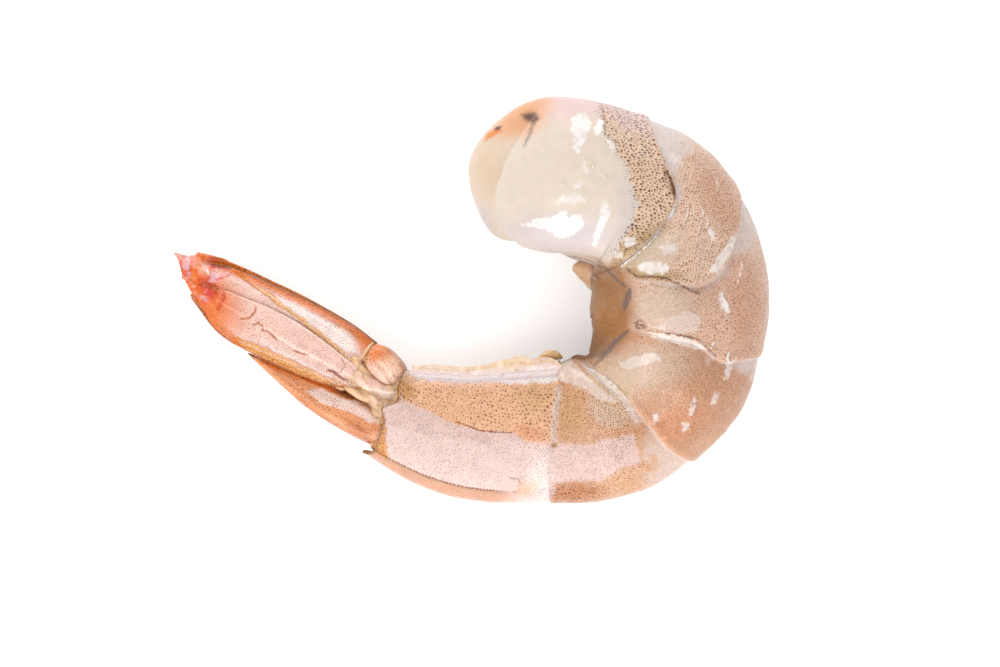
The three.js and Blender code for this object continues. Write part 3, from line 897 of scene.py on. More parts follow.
    def relief(self, number: int, share: Array, turn: Array, place: Array) -> Array:
        """How far a segment's skin stands out of the plain section.

        Args:
            number: which segment, from 0.
            share: how far along the segment, from 0 to 1.
            turn: round the section, in radians.
            place: where on the spine, counted in stations.

        Returns:
            Millimetres for each point.
        """
        c = np.cos(turn)
        grip = 0.55 + 0.45 * smooth(-c, -0.9, 0.2) - 0.8 * smooth(-c, 0.5, 0.95)
        front = -self.fold_drop * (1 - smooth(share, 0, 0.42)) if number else 0.0
        crown = self.fold_crown * np.sin(math.pi * np.minimum(1, share * 1.05))
        lip = self.lip * bell(share, 0.955, 0.035)
        depth, spread = self.belly_groove
        swell = sum(height * bell(place, middle, wide) for height, middle, wide in self.belly_swells)
        groove = depth * bell(turn, math.pi, spread) * (1 - 0.5 * bell(place, 6, 2))
        return (front + crown + lip) * grip + smooth(-c, 0.45, 0.9) * swell - groove

    def skin(self, number: int, share: Array, turn: Array) -> tuple[Array, Array]:
        """Points of one segment's skin.

        Args:
            number: which segment, from 0.
            share: how far along the segment, from 0 to 1.
            turn: round the section, in radians.

        Returns:
            The points, and their places on the spine.
        """
        front = self.segments[number - 1].edge if number else self.cut
        place = mix(front.at(turn), self.segments[number].edge.at(turn), share)
        if number == len(self.segments) - 1:
            place = place + self.seam_step * (1 - share)
        elif number:
            place = place + self.fold_step * (1 - share)
        else:
            place = place + self.cut_slant * np.sin(turn) * (1 - share)
        if number == len(self.segments) - 1:
            swell = -self.under_shell * smooth(np.cos(turn), -0.985, -0.93)
        else:
            swell = self.relief(number, share, turn, place)
        return self.spine.skin(place, turn, swell), place

    def cut_face(self, share: Array, turn: Array) -> tuple[Array, Array]:
        """Points of the cut face, two lobes of muscle with a groove between them.

        Args:
            share: from 0 at the middle to 1 at the rim.
            turn: round the section, in radians.

        Returns:
            The points, and their places on the spine.
        """
        rim, place = self.skin(0, np.zeros(len(turn)), turn)
        centre, tail, back, near, sizes = self.spine.frame(np.full(len(turn), self.cut.flank))
        out = rim - centre
        side = np.sum(out * near, axis=1) * share
        height = np.sum(out * back, axis=1) * share
        dome = self.cut_dome * (1 - share**2.3) ** 0.62
        depth, spread = self.cut_groove
        parting = bell(side, 0, spread) * smooth(height, -sizes[:, 0].min(), 1)
        groove = depth * parting * (1 - share**6)
        return mix(centre, rim, share[:, None]) + tail * (groove - dome)[:, None], place

    def joint(self, share: Array, turn: Array, nose: Array) -> tuple[Array, Array]:
        """Points of the rounded joint behind the sixth segment.

        Args:
            share: from 0 at the tip to 1 at the rim.
            turn: round the section, in radians.
            nose: the way along the tail fan.

        Returns:
            The points, and their places on the spine.
        """
        last = len(self.segments) - 1
        rim, place = self.skin(last, np.ones(len(turn)), turn)
        centre, tail, _, _, _ = self.spine.frame(np.full(len(turn), self.segments[last].edge.flank))
        reach, spread = self.joint_nose
        dome = self.joint_dome * np.sqrt(np.maximum(1 - share**2, 0))
        spots = mix(centre, rim, share[:, None]) + tail * dome[:, None]
        return spots + nose * (reach * bell(share, 0, spread))[:, None], place

    def make(self, nose: Array, material: bpy.types.Material) -> bpy.types.Object:
        """Builds and paints the flesh.

        Args:
            nose: the way along the tail fan.
            material: the raw flesh finish.

        Returns:
            The piece.
        """
        obj, ring, turn = sphere_piece("peeled_flesh", self.around, self.rings)
        spots = np.zeros((len(ring), 3))
        place = np.zeros(len(ring))
        share = np.zeros(len(ring))
        number = np.full(len(ring), -1)
        on_cut = ring < self.cut_rings
        share[on_cut] = ring[on_cut] / self.cut_rings
        spots[on_cut], place[on_cut] = self.cut_face(share[on_cut], turn[on_cut])
        first = self.cut_rings
        for index, segment in enumerate(self.segments):
            here = (ring >= first) & (ring <= first + segment.rings)
            number[here] = index
            share[here] = (ring[here] - first) / segment.rings
            spots[here], place[here] = self.skin(index, share[here], turn[here])
            first += segment.rings + 1
        on_joint = ring >= first
        number[on_joint] = len(self.segments)
        share[on_joint] = (self.rings - ring[on_joint]) / self.joint_rings
        spots[on_joint], place[on_joint] = self.joint(share[on_joint], turn[on_joint], nose)
        chart = self.chart(spots, place, turn, on_cut)
        spots = self.roughened(spots, place, turn, number, chart)
        place_vertices(obj, spots)
        self.paint(obj, chart, self.spine.seen(spots), place, share, turn, number)
        return settle(obj, material, "flesh", "flesh")

    def chart(self, spots: Array, place: Array, turn: Array, on_cut: Array) -> Array:
        """Where each vertex lies on the chart of colours; the cut face is not mirrored."""
        mirrored = self.spine.chart(place, turn)
        plain = self.spine.seen(spots)
        far = (turn > math.pi) & ~on_cut
        share = np.where(far, smooth(place, 2.2, 3.4), np.where(on_cut, 0.0, 1.0))
        return mix(plain, mirrored, share[:, None])

    def roughened(self, spots: Array, place: Array, turn: Array, number: Array, chart: Array) -> Array:
        """Adds the fine unevenness of wet flesh: lumps, wrinkles along the folds and torn membrane."""
        centre, _, _, _, _ = self.spine.frame(place)
        out = spots - centre
        out /= np.maximum(np.linalg.norm(out, axis=1, keepdims=True), 1e-6)
        height = np.zeros(len(spots))
        for seed, (size, tall) in enumerate(self.lump):
            height += tall * lumps(spots, size, seed)
        covered = (number >= 5) & (np.cos(turn) > -0.95)
        height[covered] *= 0.2
        height *= 1 - smooth(place, 9.9, 10.5) * (number < 5)
        height += 0.04 * smooth(place, 10.8, 11.03) * (number == 4)
        height += 0.09 * (1 - smooth(nearest_gap(self.membranes, chart), 0, 0.25)) * (number < 5)
        return spots + out * height[:, None]

    def paint(
        self,
        obj: bpy.types.Object,
        chart: Array,
        plain: Array,
        place: Array,
        share: Array,
        turn: Array,
        number: Array,
    ) -> None:
        """Keeps the flesh's colours and marks as attributes.

        Args:
            obj: the flesh.
            chart: where each vertex lies on the chart of colours.
            plain: the same with nothing mirrored.
            place: where it lies on the spine.
            share: how far along its segment it lies.
            turn: where it lies round the section.
            number: its segment, -1 on the cut face.
        """
        ragged = lumps(np.column_stack([chart, place]), 1.1, 11) * 0.45
        ragged += lumps(np.column_stack([chart, place]), 0.5, 12) * 0.1
        mirrored = folded(turn)
        depth = np.full(len(chart), -2.0)
        skin = np.broadcast_to(albedo(Tone.SKIN_FIRST), (len(chart), 4)).copy()
        farther = 1 - smooth(np.sin(turn) * np.where(number < 0, share, 1), -0.12, 0.08)
        bare = painted(chart, albedo(Tone.MUSCLE), self.near_lobe)
        bare = mix(bare, painted(chart, albedo(Tone.MUSCLE), self.far_lobe), farther[:, None])
        bare = painted(chart, bare, self.cut_marks, 0.12)
        radius = np.full(len(chart), 0.1)
        pale = np.zeros(len(chart))
        for index, segment in enumerate(self.segments):
            here = number == index
            skin[here] = albedo(segment.tone)
            radius[here] = segment.spot
            if index:
                depth[here] = 2.0
            if segment.wedge:
                front = segment.wedge * (1 - smooth(np.degrees(mirrored[here]), 28, 90))
                edge = smooth((share[here] - front) * 6 + ragged[here], -0.3, 0.5)
                pale[here] = segment.paleness * (1 - edge)
        first = number == 0
        depth[first] = self.first_skin.depth(chart[first])
        depth += ragged
        skin = painted(chart, skin, self.skin_washes, 0.25)
        skin = painted(chart, skin, self.seam_washes, 0.2)
        skin = mix(skin, albedo(Tone.FACET), pale[:, None])
        # the belly's brown, with painted shade in it
        belly = self.belly_brown_and_shade(plain, place, turn, ragged)
        mottled = belly * (0.9 + 0.1 * lumps(np.column_stack([chart, turn]), 1.6, 21))
        skin = mix(skin, albedo(Tone.BELLY), mottled[:, None])
        bare = mix(bare, albedo(Tone.BELLY), mottled[:, None])
        amount = np.where(number < 0, 0.0, 1.0) * (1 - 0.9 * belly)
        clear = np.zeros(len(chart))
        for middle, half, lean in self.clearings:
            clear = np.maximum(clear, Wash(Tone.SKIN_CLEAR, middle, half, lean).weight(chart))
        amount *= (1 - 0.85 * clear) * (1 - pale) * np.where(number == 3, 0.7, 1.0)
        # fewer dots under the painted highlight
        painted_highlight = Patch(Tone.SHELL, self.highlight).weight(chart)
        amount *= 1 - 0.45 * painted_highlight
        keep_colour(obj, "bare_tone", bare)
        keep_colour(obj, "skin_tone", skin)
        keep_number(obj, "skin_depth", depth)
        rust = Wash(Tone.SKIN_RUST, (13.0, -24.0), (5.0, 1.4), 4).weight(chart) * (number == 4)
        keep_number(obj, "spot_radius", radius + 0.05 * rust)
        keep_number(obj, "spot_amount", amount)
        keep_number(obj, "spot_coarse", np.maximum(number <= 0, rust))
        self.lay_dots(obj, place, mirrored, number)
        self.lay_lines(obj, chart, plain, turn, number)

    def belly_brown_and_shade(self, plain: Array, place: Array, turn: Array, ragged: Array) -> Array:
        """How brown the belly and the open side above it are: the belly's own brown, darkened by painted
        shade.

        Args:
            plain: where each vertex lies on the chart, with nothing mirrored.
            place: where it lies on the spine.
            turn: where it lies round the section.
            ragged: how far the edges stray there.

        Returns:
            A share for each vertex.
        """
        degrees = np.degrees(turn)
        belly = smooth(degrees, 155, 170) * (1 - smooth(degrees, 212, 235))
        belly = belly * smooth(place, 3.4, 4.6) * (1 - smooth(place, 10.5, 12.0))
        open_side = smooth(self.ventral.depth(plain) + 0.9 * ragged, -0.5, 1.6)
        open_side *= (degrees > 90) & (degrees < 200) & (place > 2.6) & (place < 10.5)
        return np.maximum(belly, open_side)

    def lay_lines(
        self, obj: bpy.types.Object, chart: Array, plain: Array, turn: Array, number: Array
    ) -> None:
        """Keeps how far each vertex is from the sheen films, the nerve, the borders and the torn membranes.

        Args:
            obj: the flesh.
            chart: where each vertex lies on the chart of colours.
            plain: the same with nothing mirrored.
            turn: where it lies round the section.
            number: its segment.
        """
        depths = np.array([Outline(sheen_film.points).depth(chart) for sheen_film in self.sheen_films])
        whites = np.array([sheen_film.white for sheen_film in self.sheen_films])
        keep_number(obj, "sheen_film_depth", depths.max(axis=0))
        keep_number(obj, "sheen_film_white", whites[depths.argmax(axis=0)])
        near_nerve = np.where(turn < math.radians(240), nearest_gap(self.nerve, plain), FAR_OFF)
        keep_number(obj, "nerve_gap", near_nerve)
        keep_number(obj, "border_gap", nearest_gap(self.border, chart))
        keep_number(obj, "membrane_gap", np.where(number < 5, nearest_gap(self.membranes, chart), FAR_OFF))

    def lay_dots(self, obj: bpy.types.Object, place: Array, mirrored: Array, number: Array) -> None:
        """Unrolls each segment from a cone halfway between its back and its flank, so that dots stay round.

        Args:
            obj: the flesh.
            place: where each vertex lies on the spine.
            mirrored: its turn from the back, in radians, the same on both flanks.
            number: its segment.
        """
        steps = np.linspace(0, len(self.spine.stations) - 1, 400)
        line, tail, _, _, _ = self.spine.frame(steps)
        length = np.append(0, np.cumsum(np.linalg.norm(np.diff(line, axis=0), axis=1)))
        heading = np.unwrap(np.arctan2(tail[:, 1], tail[:, 0]))
        rows = np.zeros((len(place), 2))
        for index in range(len(self.segments)):
            here = number == index
            ends = np.array([place[here].min(), place[here].max()])
            run, swerve = np.diff(np.interp(ends, steps, length)), np.diff(np.interp(ends, steps, heading))
            radius = abs(run / swerve)[0]
            middle = ends.mean()
            reach = (radius + self.cone_out) / self.cone
            away = reach - self.spine.girth(middle, mirrored[here]) + self.spine.girth(middle, math.pi / 4)
            ahead = np.interp(place[here], steps, length) - np.interp(middle, steps, length)
            swing = self.cone * ahead / radius
            apart = self.chart_gap * index
            rows[here] = np.column_stack([away * np.sin(swing) + apart, reach - away * np.cos(swing)])
        keep_chart(obj, rows[:, 0], rows[:, 1])


# ---- The sixth segment's shell -------------------------------------------------------------------


@dataclass
class Jacket:
    """The shell round the sixth segment, open along the belly, with a keel and a spine over the tail."""

    spine: Spine
    across: int = 230
    along: int = 130
    overlap: float = 0.038  # stations by which it reaches over the fifth segment
    end: float = 14.95
    wall: float = 0.45
    open_at: float = 154.0  # degrees from the back
    keel: float = 0.4
    keel_spread: float = 0.3
    spike: float = 0.25
    lobe: float = 0.2
    notch: float = 0.15
    front_sink: float = 0.15  # how far the front edge dips into the flesh
    length: float = 20.3  # from the front edge to the rear one, in millimetres
    widest: int = 12  # the station where its dots are true to size
    tan: ClassVar[Patch] = Patch(
        Tone.SHELL_TAN,
        (
            (-9.0, -9.2), (-6.9, -9.2), (-5.6, -10.0), (0.1, -10.0), (5.4, -10.4), (8.1, -10.2),
            (11.6, -10.0), (11.6, -17.5), (10.1, -17.7), (6.8, -17.4), (5.1, -16.5), (0.8, -16.2),
            (-1.6, -15.4), (-3.9, -14.5), (-6.6, -13.2), (-9.0, -12.2),
        ),
        0.97,
        0.15,
    )
    root_stain: ClassVar[Wash] = Wash(Tone.TISSUE_DEEP, (-8.4, -10.4), (1.3, 1.9), 10, 0.7, 0.7)
    gold_corner: ClassVar[Patch] = Patch(
        Tone.SHELL_CORNER,
        (
            (-10.7, -15.0), (-10.5, -16.5), (-10.7, -19.2), (-9.9, -20.4), (-11.2, -21.0), (-13.4, -19.6),
            (-12.4, -17.8), (-11.6, -15.6),
        ),
        0.95,
        0.25,
    )
    washes: Marks = (
        tan,
        Wash(Tone.SKIN_OCHRE, (8.0, -12.0), (2.4, 1.8), 0, 0.5),
        Wash(Tone.SKIN_ORANGE, (7.6, -16.4), (2.0, 0.9), -25, 0.6),
        # a painted highlight along the shell's belly edge
        Patch(
            Tone.FILM, ((-8.0, -8.4), (-5.3, -8.4), (0.1, -8.0), (6.1, -7.5), (11.6, -7.0), (11.6, -10.0),
            (5.4, -10.3), (0.1, -9.9), (-5.6, -9.9), (-8.0, -9.1)), 0.9, 0.15,
        ),
        root_stain,
        gold_corner,
        Stroke(
            Tone.BORDER_SOFT, ((5.0, -22.1), (5.8, -22.2), (6.3, -22.8), (5.9, -23.5), (5.2, -24.0)), 0.09,
            0.7, 0.1,
        ),
        Wash(Tone.SHELL_TAN, (7.2, -23.4), (1.6, 0.9), 0, 0.7, 0.5),
        *Flesh.seam_washes,
    )
    marks: tuple[Trail, ...] = (
        Trail(((-1.9, -15.1), (-0.9, -15.4), (1.1, -16.2), (3.1, -16.4), (5.1, -16.4)), 0.09),
    )

    def make(self, material: bpy.types.Material) -> bpy.types.Object:
        """Builds and paints the shell.

        Args:
            material: the shell finish.

        Returns:
            The piece.
        """
        obj, across, along = grid_piece("sixth_jacket", self.across, self.along)
        open_at = math.radians(self.open_at)
        turn = mix(-open_at, open_at, across)
        away = np.abs(turn)
        keel = bell(away, 0, self.keel_spread)
        ragged = self.lobe * bell(away, 1.6, 0.2) - self.notch * bell(away, 1.95, 0.2)
        rear = self.end + self.spike * keel**1.5 + ragged
        place = mix(Flesh.segments[4].edge.at(turn) - self.overlap, rear, along)
        ridge = self.keel * smooth(along, 0.05, 0.4) * keel
        edge = 0.12 * smooth(along, 0.965, 1.0)
        edge += 0.1 * smooth(np.degrees(away), self.open_at - 6, self.open_at)
        chart = self.spine.chart(place, away)
        calm = smooth(along, 0.0, 0.08)
        wavy = 0.035 * lumps(np.column_stack([chart, turn * 5]), 2.4, 31)
        wavy += 0.012 * lumps(np.column_stack([chart, turn * 5]), 0.9, 32)
        offset = ridge + wavy * calm + edge - 0.02 - self.front_sink * (1 - calm)
        place_vertices(obj, self.spine.skin(place, turn, offset))
        self.paint(obj, chart, along, away, rear - place)
        sizes = self.spine.sizes
        slim = curve_at(sizes, place)[:, :2].sum(axis=1) / sizes[self.widest, :2].sum()
        keep_chart(obj, along * self.length, np.sign(turn) * self.spine.girth(self.widest, away) * slim)
        flip_if(obj, not self.faces_out(obj))
        thicken(obj, self.wall)
        return settle(obj, material, "shell", "sixth_shell")

    def faces_out(self, obj: bpy.types.Object) -> bool:
        """Whether the shell's face on the near flank points up."""
        high = max(obj.data.polygons, key=lambda face: face.center.z)
        return high.normal.z > 0

    def paint(self, obj: bpy.types.Object, chart: Array, along: Array, away: Array, to_rear: Array) -> None:
        """Keeps the shell's colours and marks as attributes.

        Args:
            obj: the shell.
            chart: where each vertex lies on the chart of colours.
            along: its share from front to rear.
            away: its turn from the back, in radians.
            to_rear: how far it is from the rear edge, in stations.
        """
        # the shell's ground is its painted sheen tone; the tan, film and corner marks are laid over it
        colours = painted(chart, albedo(Tone.SHELL), self.washes, 0.2)
        degrees = np.degrees(away)
        rim = (1 - smooth(degrees, 21, 26)) * smooth(along, 0.12, 0.3)
        colours = mix(colours, albedo(Tone.SHELL_RIM), rim[:, None])
        gold = 0.75 * bell(degrees, 24.5, 1.6) * smooth(along, 0.12, 0.3)
        colours = mix(colours, albedo(Tone.SHELL_GOLD), gold[:, None])
        hem = 0.9 * (1 - smooth(to_rear, 0.03, 0.08))
        colours = mix(colours, albedo(Tone.SHELL_EDGE), hem[:, None])
        keep_colour(obj, "shell_tone", colours)
        radius = 0.1 + 0.055 * (1 - smooth(to_rear, 0.05, 0.4))
        stains = (self.tan, self.root_stain, self.gold_corner)
        tanned = np.minimum(sum(mark.weight(chart) for mark in stains), 1)
        amount = tanned * smooth(degrees, 20, 30)
        speck = smooth(degrees, 24, 30) * (0.75 - 0.2 * tanned)
        beads = 0.5 + 0.5 * np.sin(along * 330)
        dotted = np.abs(np.radians(degrees - 26.5) * 7.5) - (0.04 + 0.2 * beads) * smooth(along, 0.15, 0.35)
        keep_dots(obj, radius, amount, speck, np.minimum(nearest_gap(self.marks, chart), dotted))


# ---- The tail fan --------------------------------------------------------------------------------


@dataclass
class FanFrame:
    """The tail fan's own frame: a runs along the fan, b towards the belly and c towards the near flank."""

    root: tuple[float, float, float] = (-10.3, -13.8, 5.1)
    turn: float = 143.6
    dip: float = 2.4

    def __post_init__(self) -> None:
        """Works out the frame's three ways."""
        turn, dip = math.radians(self.turn), math.radians(self.dip)
        level = np.array([math.cos(turn), math.sin(turn)])
        self.along = np.array([*(level * math.cos(dip)), -math.sin(dip)])
        self.belly = np.array([level[1], -level[0], 0.0])
        near = np.cross(self.belly, self.along)
        self.near = near if near[2] > 0 else -near

    def point(self, a: Array, b: Array, c: Array) -> Array:
        """Carries points from the fan's frame to the prawn's."""
        ways = ((a, self.along), (b, self.belly), (c, self.near))
        return np.array(self.root) + sum(np.outer(reach, way) for reach, way in ways)


@dataclass
class Telson:
    """The long spike in the middle of the fan, wide at its joint, that comes to a point."""

    fan: FanFrame
    around: int = 120
    rings: int = 280
    start: float = -2.3
    end: float = 18.9
    back: tuple[float, ...] = (-4.6, -5.5, -5.9, -5.5, -4.9)
    belly: tuple[float, ...] = (-0.5, -0.7, -1.6, -3.2, -4.7)
    width: tuple[float, ...] = (2.9, 2.3, 1.6, 1.1, 0.25)
    groove: float = 0.16  # share of the width that the groove along each side takes
    # the telson's pale patch is a painted highlight, with fewer large dots under it
    clear: ClassVar[Patch] = Patch(
        Tone.FAN_CLEAR,
        (
            (10.0, -4.2), (8.7, -2.9), (6.5, -2.4), (2.6, -1.2), (0.3, -1.9), (0.8, -2.6), (3.3, -2.9),
            (7.6, -4.3),
        ),
        0.95,
        0.12,
    )
    washes: Marks = (
        # a darker band along the back edge: painted shade
        Wash(Tone.FAN_BROWN, (9.0, -5.8), (10.0, 0.5), -2, 0.5, 0.6),
        Stroke(
            Tone.FAN_ORANGE, ((16.5, -4.4), (13.3, -3.8), (11.6, -3.2), (9.1, -2.6), (7.0, -1.9)), 0.35,
            0.9, 0.3,
        ),
        Stroke(Tone.FAN_FRINGE, ((17.0, -4.5), (13.3, -3.4), (11.0, -2.6), (8.0, -1.9)), 0.1, 0.8, 0.1),
        clear,
        Patch(
            Tone.FAN_DARK, ((7.2, -2.2), (6.6, -1.5), (5.4, -1.1), (4.2, -1.1), (4.6, -1.7), (6.0, -1.9)),
            0.8, 0.15,
        ),
        Stroke(
            Tone.GLINT, ((5.6, -2.4), (4.2, -1.6), (2.6, -0.8), (1.4, -1.3), (0.0, -2.0)), 0.08, 0.9, 0.06,
        ),
        Stroke(Tone.TISSUE_DEEP, ((4.2, -1.3), (2.6, -0.5), (1.0, -1.0), (-0.4, -1.8)), 0.08, 0.8, 0.08),
        Wash(Tone.FAN_DARK, (18.6, -4.9), (0.9, 0.6), 0, 0.8, 0.5),
        Wash(Tone.FAN_BROWN, (1.0, -4.6), (2.2, 0.9), 10, 0.6, 0.6),
        Stroke(
            Tone.FAN_BROWN, ((18.0, -5.2), (12.8, -5.7), (8.6, -5.9), (3.5, -5.5), (-0.6, -4.8)), 0.08,
            0.7, 0.1,
        ),
    )

    def make(self, material: bpy.types.Material) -> bpy.types.Object:
        """Builds and paints the telson.

        Args:
            material: the fan finish.

        Returns:
            The piece.
        """
        obj, ring, turn = sphere_piece("telson_spike", self.around, self.rings)
        share = ring / self.rings
        back, belly = profile_at(self.back, share), profile_at(self.belly, share)
        blunt = np.sqrt(np.maximum(1 - (2 * share - 1) ** 16, 0))
        a = mix(self.start, self.end, share)
        tall = (belly - back) / 2 * blunt
        middle = (belly + back) / 2
        b = middle - np.cos(turn) * tall
        grooved = smooth(share, 0.08, 0.2) * (1 - smooth(share, 0.7, 0.9))
        groove = self.groove * bell(np.abs(np.sin(turn)), 1.0, 0.12) * grooved
        half = profile_at(self.width, share) * blunt * (1 - groove)
        c = np.sin(turn) * half
        place_vertices(obj, self.fan.point(a, b, c))
        chart = np.column_stack([a, b])
        keep_colour(obj, "shell_tone", painted(chart, albedo(Tone.FAN_TAN), self.washes, 0.15))
        shining = self.clear.weight(chart)
        keep_dots(obj, 0.08, 0.9 * (1 - 0.8 * shining), 0.5 + 0.4 * shining)
        keep_chart(obj, a, folded(turn) / math.pi * (tall + half) * 1.6)
        return settle(obj, material, "telson", "telson")


@dataclass
class BladeBase:
    """The squarish lump on each side of the fan that carries the two blades."""

    fan: FanFrame
    around: int = 120
    rings: int = 90
    middle: tuple[float, float, float] = (3.8, 4.3, 2.1)
    long: float = 5.7
    tall: float = 3.8
    thick: float = 3.3
    lean: float = 8.0
    power: float = 2.7
    girth: float = 5.6  # halfway round, in millimetres
    crease: ClassVar[Trail] = Trail(((1.2, 2.9), (3.4, 3.9), (6.4, 4.2)), 0.0)
    crease_depth: float = 0.2
    washes: Marks = (
        Patch(
            Tone.FAN_ORANGE, ((7.0, 5.6), (6.0, 6.8), (4.3, 6.8), (3.9, 5.6), (4.6, 4.2), (5.6, 2.5)), 0.8,
            0.9,
        ),
        Wash(Tone.FAN, (3.6, 2.9), (2.2, 1.0), 6, 0.7, 0.6),
        Wash(Tone.FAN, (2.4, 4.4), (1.0, 0.8), 6, 0.5, 0.6),
        Stroke(Tone.FAN_BROWN, ((5.9, 6.5), (4.5, 6.3), (2.5, 5.9), (1.3, 5.2)), 0.12, 0.8, 0.2),
        Stroke(Tone.TISSUE_DEEP, ((6.6, 5.8), (6.5, 4.4), (5.6, 2.9), (4.9, 2.3)), 0.16, 0.9, 0.15),
    )

    def make(self, side: str, sign: int, material: bpy.types.Material) -> bpy.types.Object:
        """Builds and paints one base.

        Args:
            side: near or far.
            sign: 1 on the near side and -1 on the far one.
            material: the fan finish.

        Returns:
            The piece.
        """
        obj, ring, turn = sphere_piece(f"{side}_fan_base", self.around, self.rings)
        swing = math.pi * ring / self.rings
        lean = math.radians(self.lean)

        def squared(value: Array) -> Array:
            return np.sign(value) * np.abs(value) ** (2 / self.power)

        flat = squared(np.sin(swing))
        long = -squared(np.cos(swing)) * self.long / 2
        tall = flat * squared(np.cos(turn)) * self.tall / 2
        thick = flat * squared(np.sin(turn)) * self.thick / 2
        a = self.middle[0] + long * math.cos(lean) - tall * math.sin(lean)
        b = self.middle[1] + long * math.sin(lean) + tall * math.cos(lean)
        chart = np.column_stack([a, b])
        dent = self.crease_depth * bell(self.crease.gap(chart), 0, 0.35) * (np.sin(turn) > 0)
        place_vertices(obj, self.fan.point(a, b, sign * (self.middle[2] + thick - dent)))
        keep_colour(obj, "shell_tone", painted(chart, albedo(Tone.FAN_BASE), self.washes, 0.15))
        keep_dots(obj, 0.07, 0.9, 0.5)
        keep_chart(obj, a, folded(turn) / math.pi * self.girth)
        return settle(obj, material, "blade_base", f"{side}_base")


@dataclass
class Blade:
    """One thin leaf of the fan, whose outer margin bends towards the other side's."""

    fan: FanFrame
    name: str
    slot: str
    root: float
    near: float
    far: float
    lift: float
    fall: float
    outer: tuple[float, ...]
    inner: tuple[float, ...]
    washes: Marks
    ribs: tuple[Trail, ...]
    band: float  # strength of the orange band along the outer margin
    edge: float  # strength of the dark line on it
    thick: float = 0.5
    across: int = 110
    along: int = 300
    rib_height: float = 0.22
    point: float = 1.9  # how far the tip's middle stands out before its corners
    spike: float = 0.95  # on the tip of the far outer blade
    far_shift: float = 0.55  # how far the marks lie further out on the far side
    droop: float = 0.9  # how far it comes down towards the other side's blades

    def drooped(self, along: Array) -> Array:
        """How far the blade has come down at each share of its length."""
        return self.droop * smooth(along, 0.4, 1)

    def make(self, side: str, sign: int, material: bpy.types.Material) -> bpy.types.Object:
        """Builds and paints one blade.

        Args:
            side: near or far.
            sign: 1 on the near side and -1 on the far one.
            material: the fan finish.

        Returns:
            The piece.
        """
        obj, across, along = grid_piece(f"{side}_{self.name}_leaf", self.across, self.along)
        tip = self.near if sign > 0 else self.far
        b = mix(profile_at(self.inner, along), profile_at(self.outer, along), across)
        rounding = np.abs(2 * across - 1) ** 1.3
        a = mix(self.root, tip, along) - self.point * rounding * smooth(along, 0.75, 1)
        if sign < 0 and self.band:
            a += self.spike * bell(across, 0.56, 0.1) * smooth(along, 0.96, 1)
        bend = self.fall * smooth(across, 0.35, 1) ** 1.5 * mix(1, 0.45, along)
        chart = np.column_stack([a - (self.far_shift if sign < 0 else 0.0), b])
        rib = self.rib_height * bell(np.maximum(nearest_gap(self.ribs, chart), 0), 0, 0.3) * (1 - 0.7 * along)
        ripple = 0.04 * lumps(np.column_stack([a / 3, b]), 0.8, 41)
        margin = 0.1 * (bell(across, 1, 0.03) + bell(across, 0, 0.03))
        height = self.lift - bend - self.drooped(along) + self.thick / 2 + rib + ripple + margin - 0.05
        place_vertices(obj, self.fan.point(a, b, sign * height))
        flip_if(obj, sum(face.normal.z for face in obj.data.polygons) * sign < 0)
        self.paint(obj, chart, across, along, profile_at(self.outer, along) - profile_at(self.inner, along))
        thicken(obj, self.thick)
        return settle(obj, material, self.slot, f"{side}_{self.name}")

    def paint(self, obj: bpy.types.Object, chart: Array, across: Array, along: Array, wide: Array) -> None:
        """Keeps the blade's colours and marks as attributes.

        Args:
            obj: the blade.
            chart: where each vertex lies on the chart of a and b.
            across: its share from the inner margin to the outer one.
            along: its share from the root to the tip.
            wide: how wide the blade is there.
        """
        colours = painted(chart, albedo(Tone.FAN), self.washes, 0.12)
        crumbs = lumps(chart, 0.5, 91) + 0.7 * lumps(chart, 0.22, 92)
        heat = 0.6 * smooth(along, 0.8, 0.9)
        colours = mix(colours, albedo(Tone.FAN_EMBER), (heat * smooth(crumbs, 0.2, 0.9))[:, None])
        colours = mix(colours, albedo(Tone.FAN_PINK), (heat * smooth(-crumbs, 0.4, 1.1))[:, None])
        to_outer = (1 - across) * wide + 0.05 * lumps(chart, 0.4, 43)
        band = self.band * (1 - smooth(to_outer, 0.45, 1.35))
        colours = mix(colours, albedo(Tone.FAN_ORANGE), (band * (1 - smooth(along, 0.8, 0.95)))[:, None])
        edge = self.edge * (1 - smooth(to_outer, 0.03, 0.13))
        colours = mix(colours, albedo(Tone.FAN_DARK), edge[:, None])
        to_inner = across * wide + 0.05 * lumps(chart, 0.4, 44)
        colours = mix(colours, albedo(Tone.FAN_BROWN), (0.8 * (1 - smooth(to_inner, 0.04, 0.16)))[:, None])
        keep_colour(obj, "shell_tone", colours)
        to_edge = np.minimum(to_outer if self.band else FAR_OFF, across * wide)
        tip = smooth(along, 0.82, 0.93)
        keep_dots(obj, 0.07, (1 - smooth(to_edge, 0.6, 1.2)) * (1 - tip), 0.9 * (1 - 0.6 * tip))
        keep_chart(obj, chart[:, 0], chart[:, 1])


# ---- Soft tissue and bristles --------------------------------------------------------------------


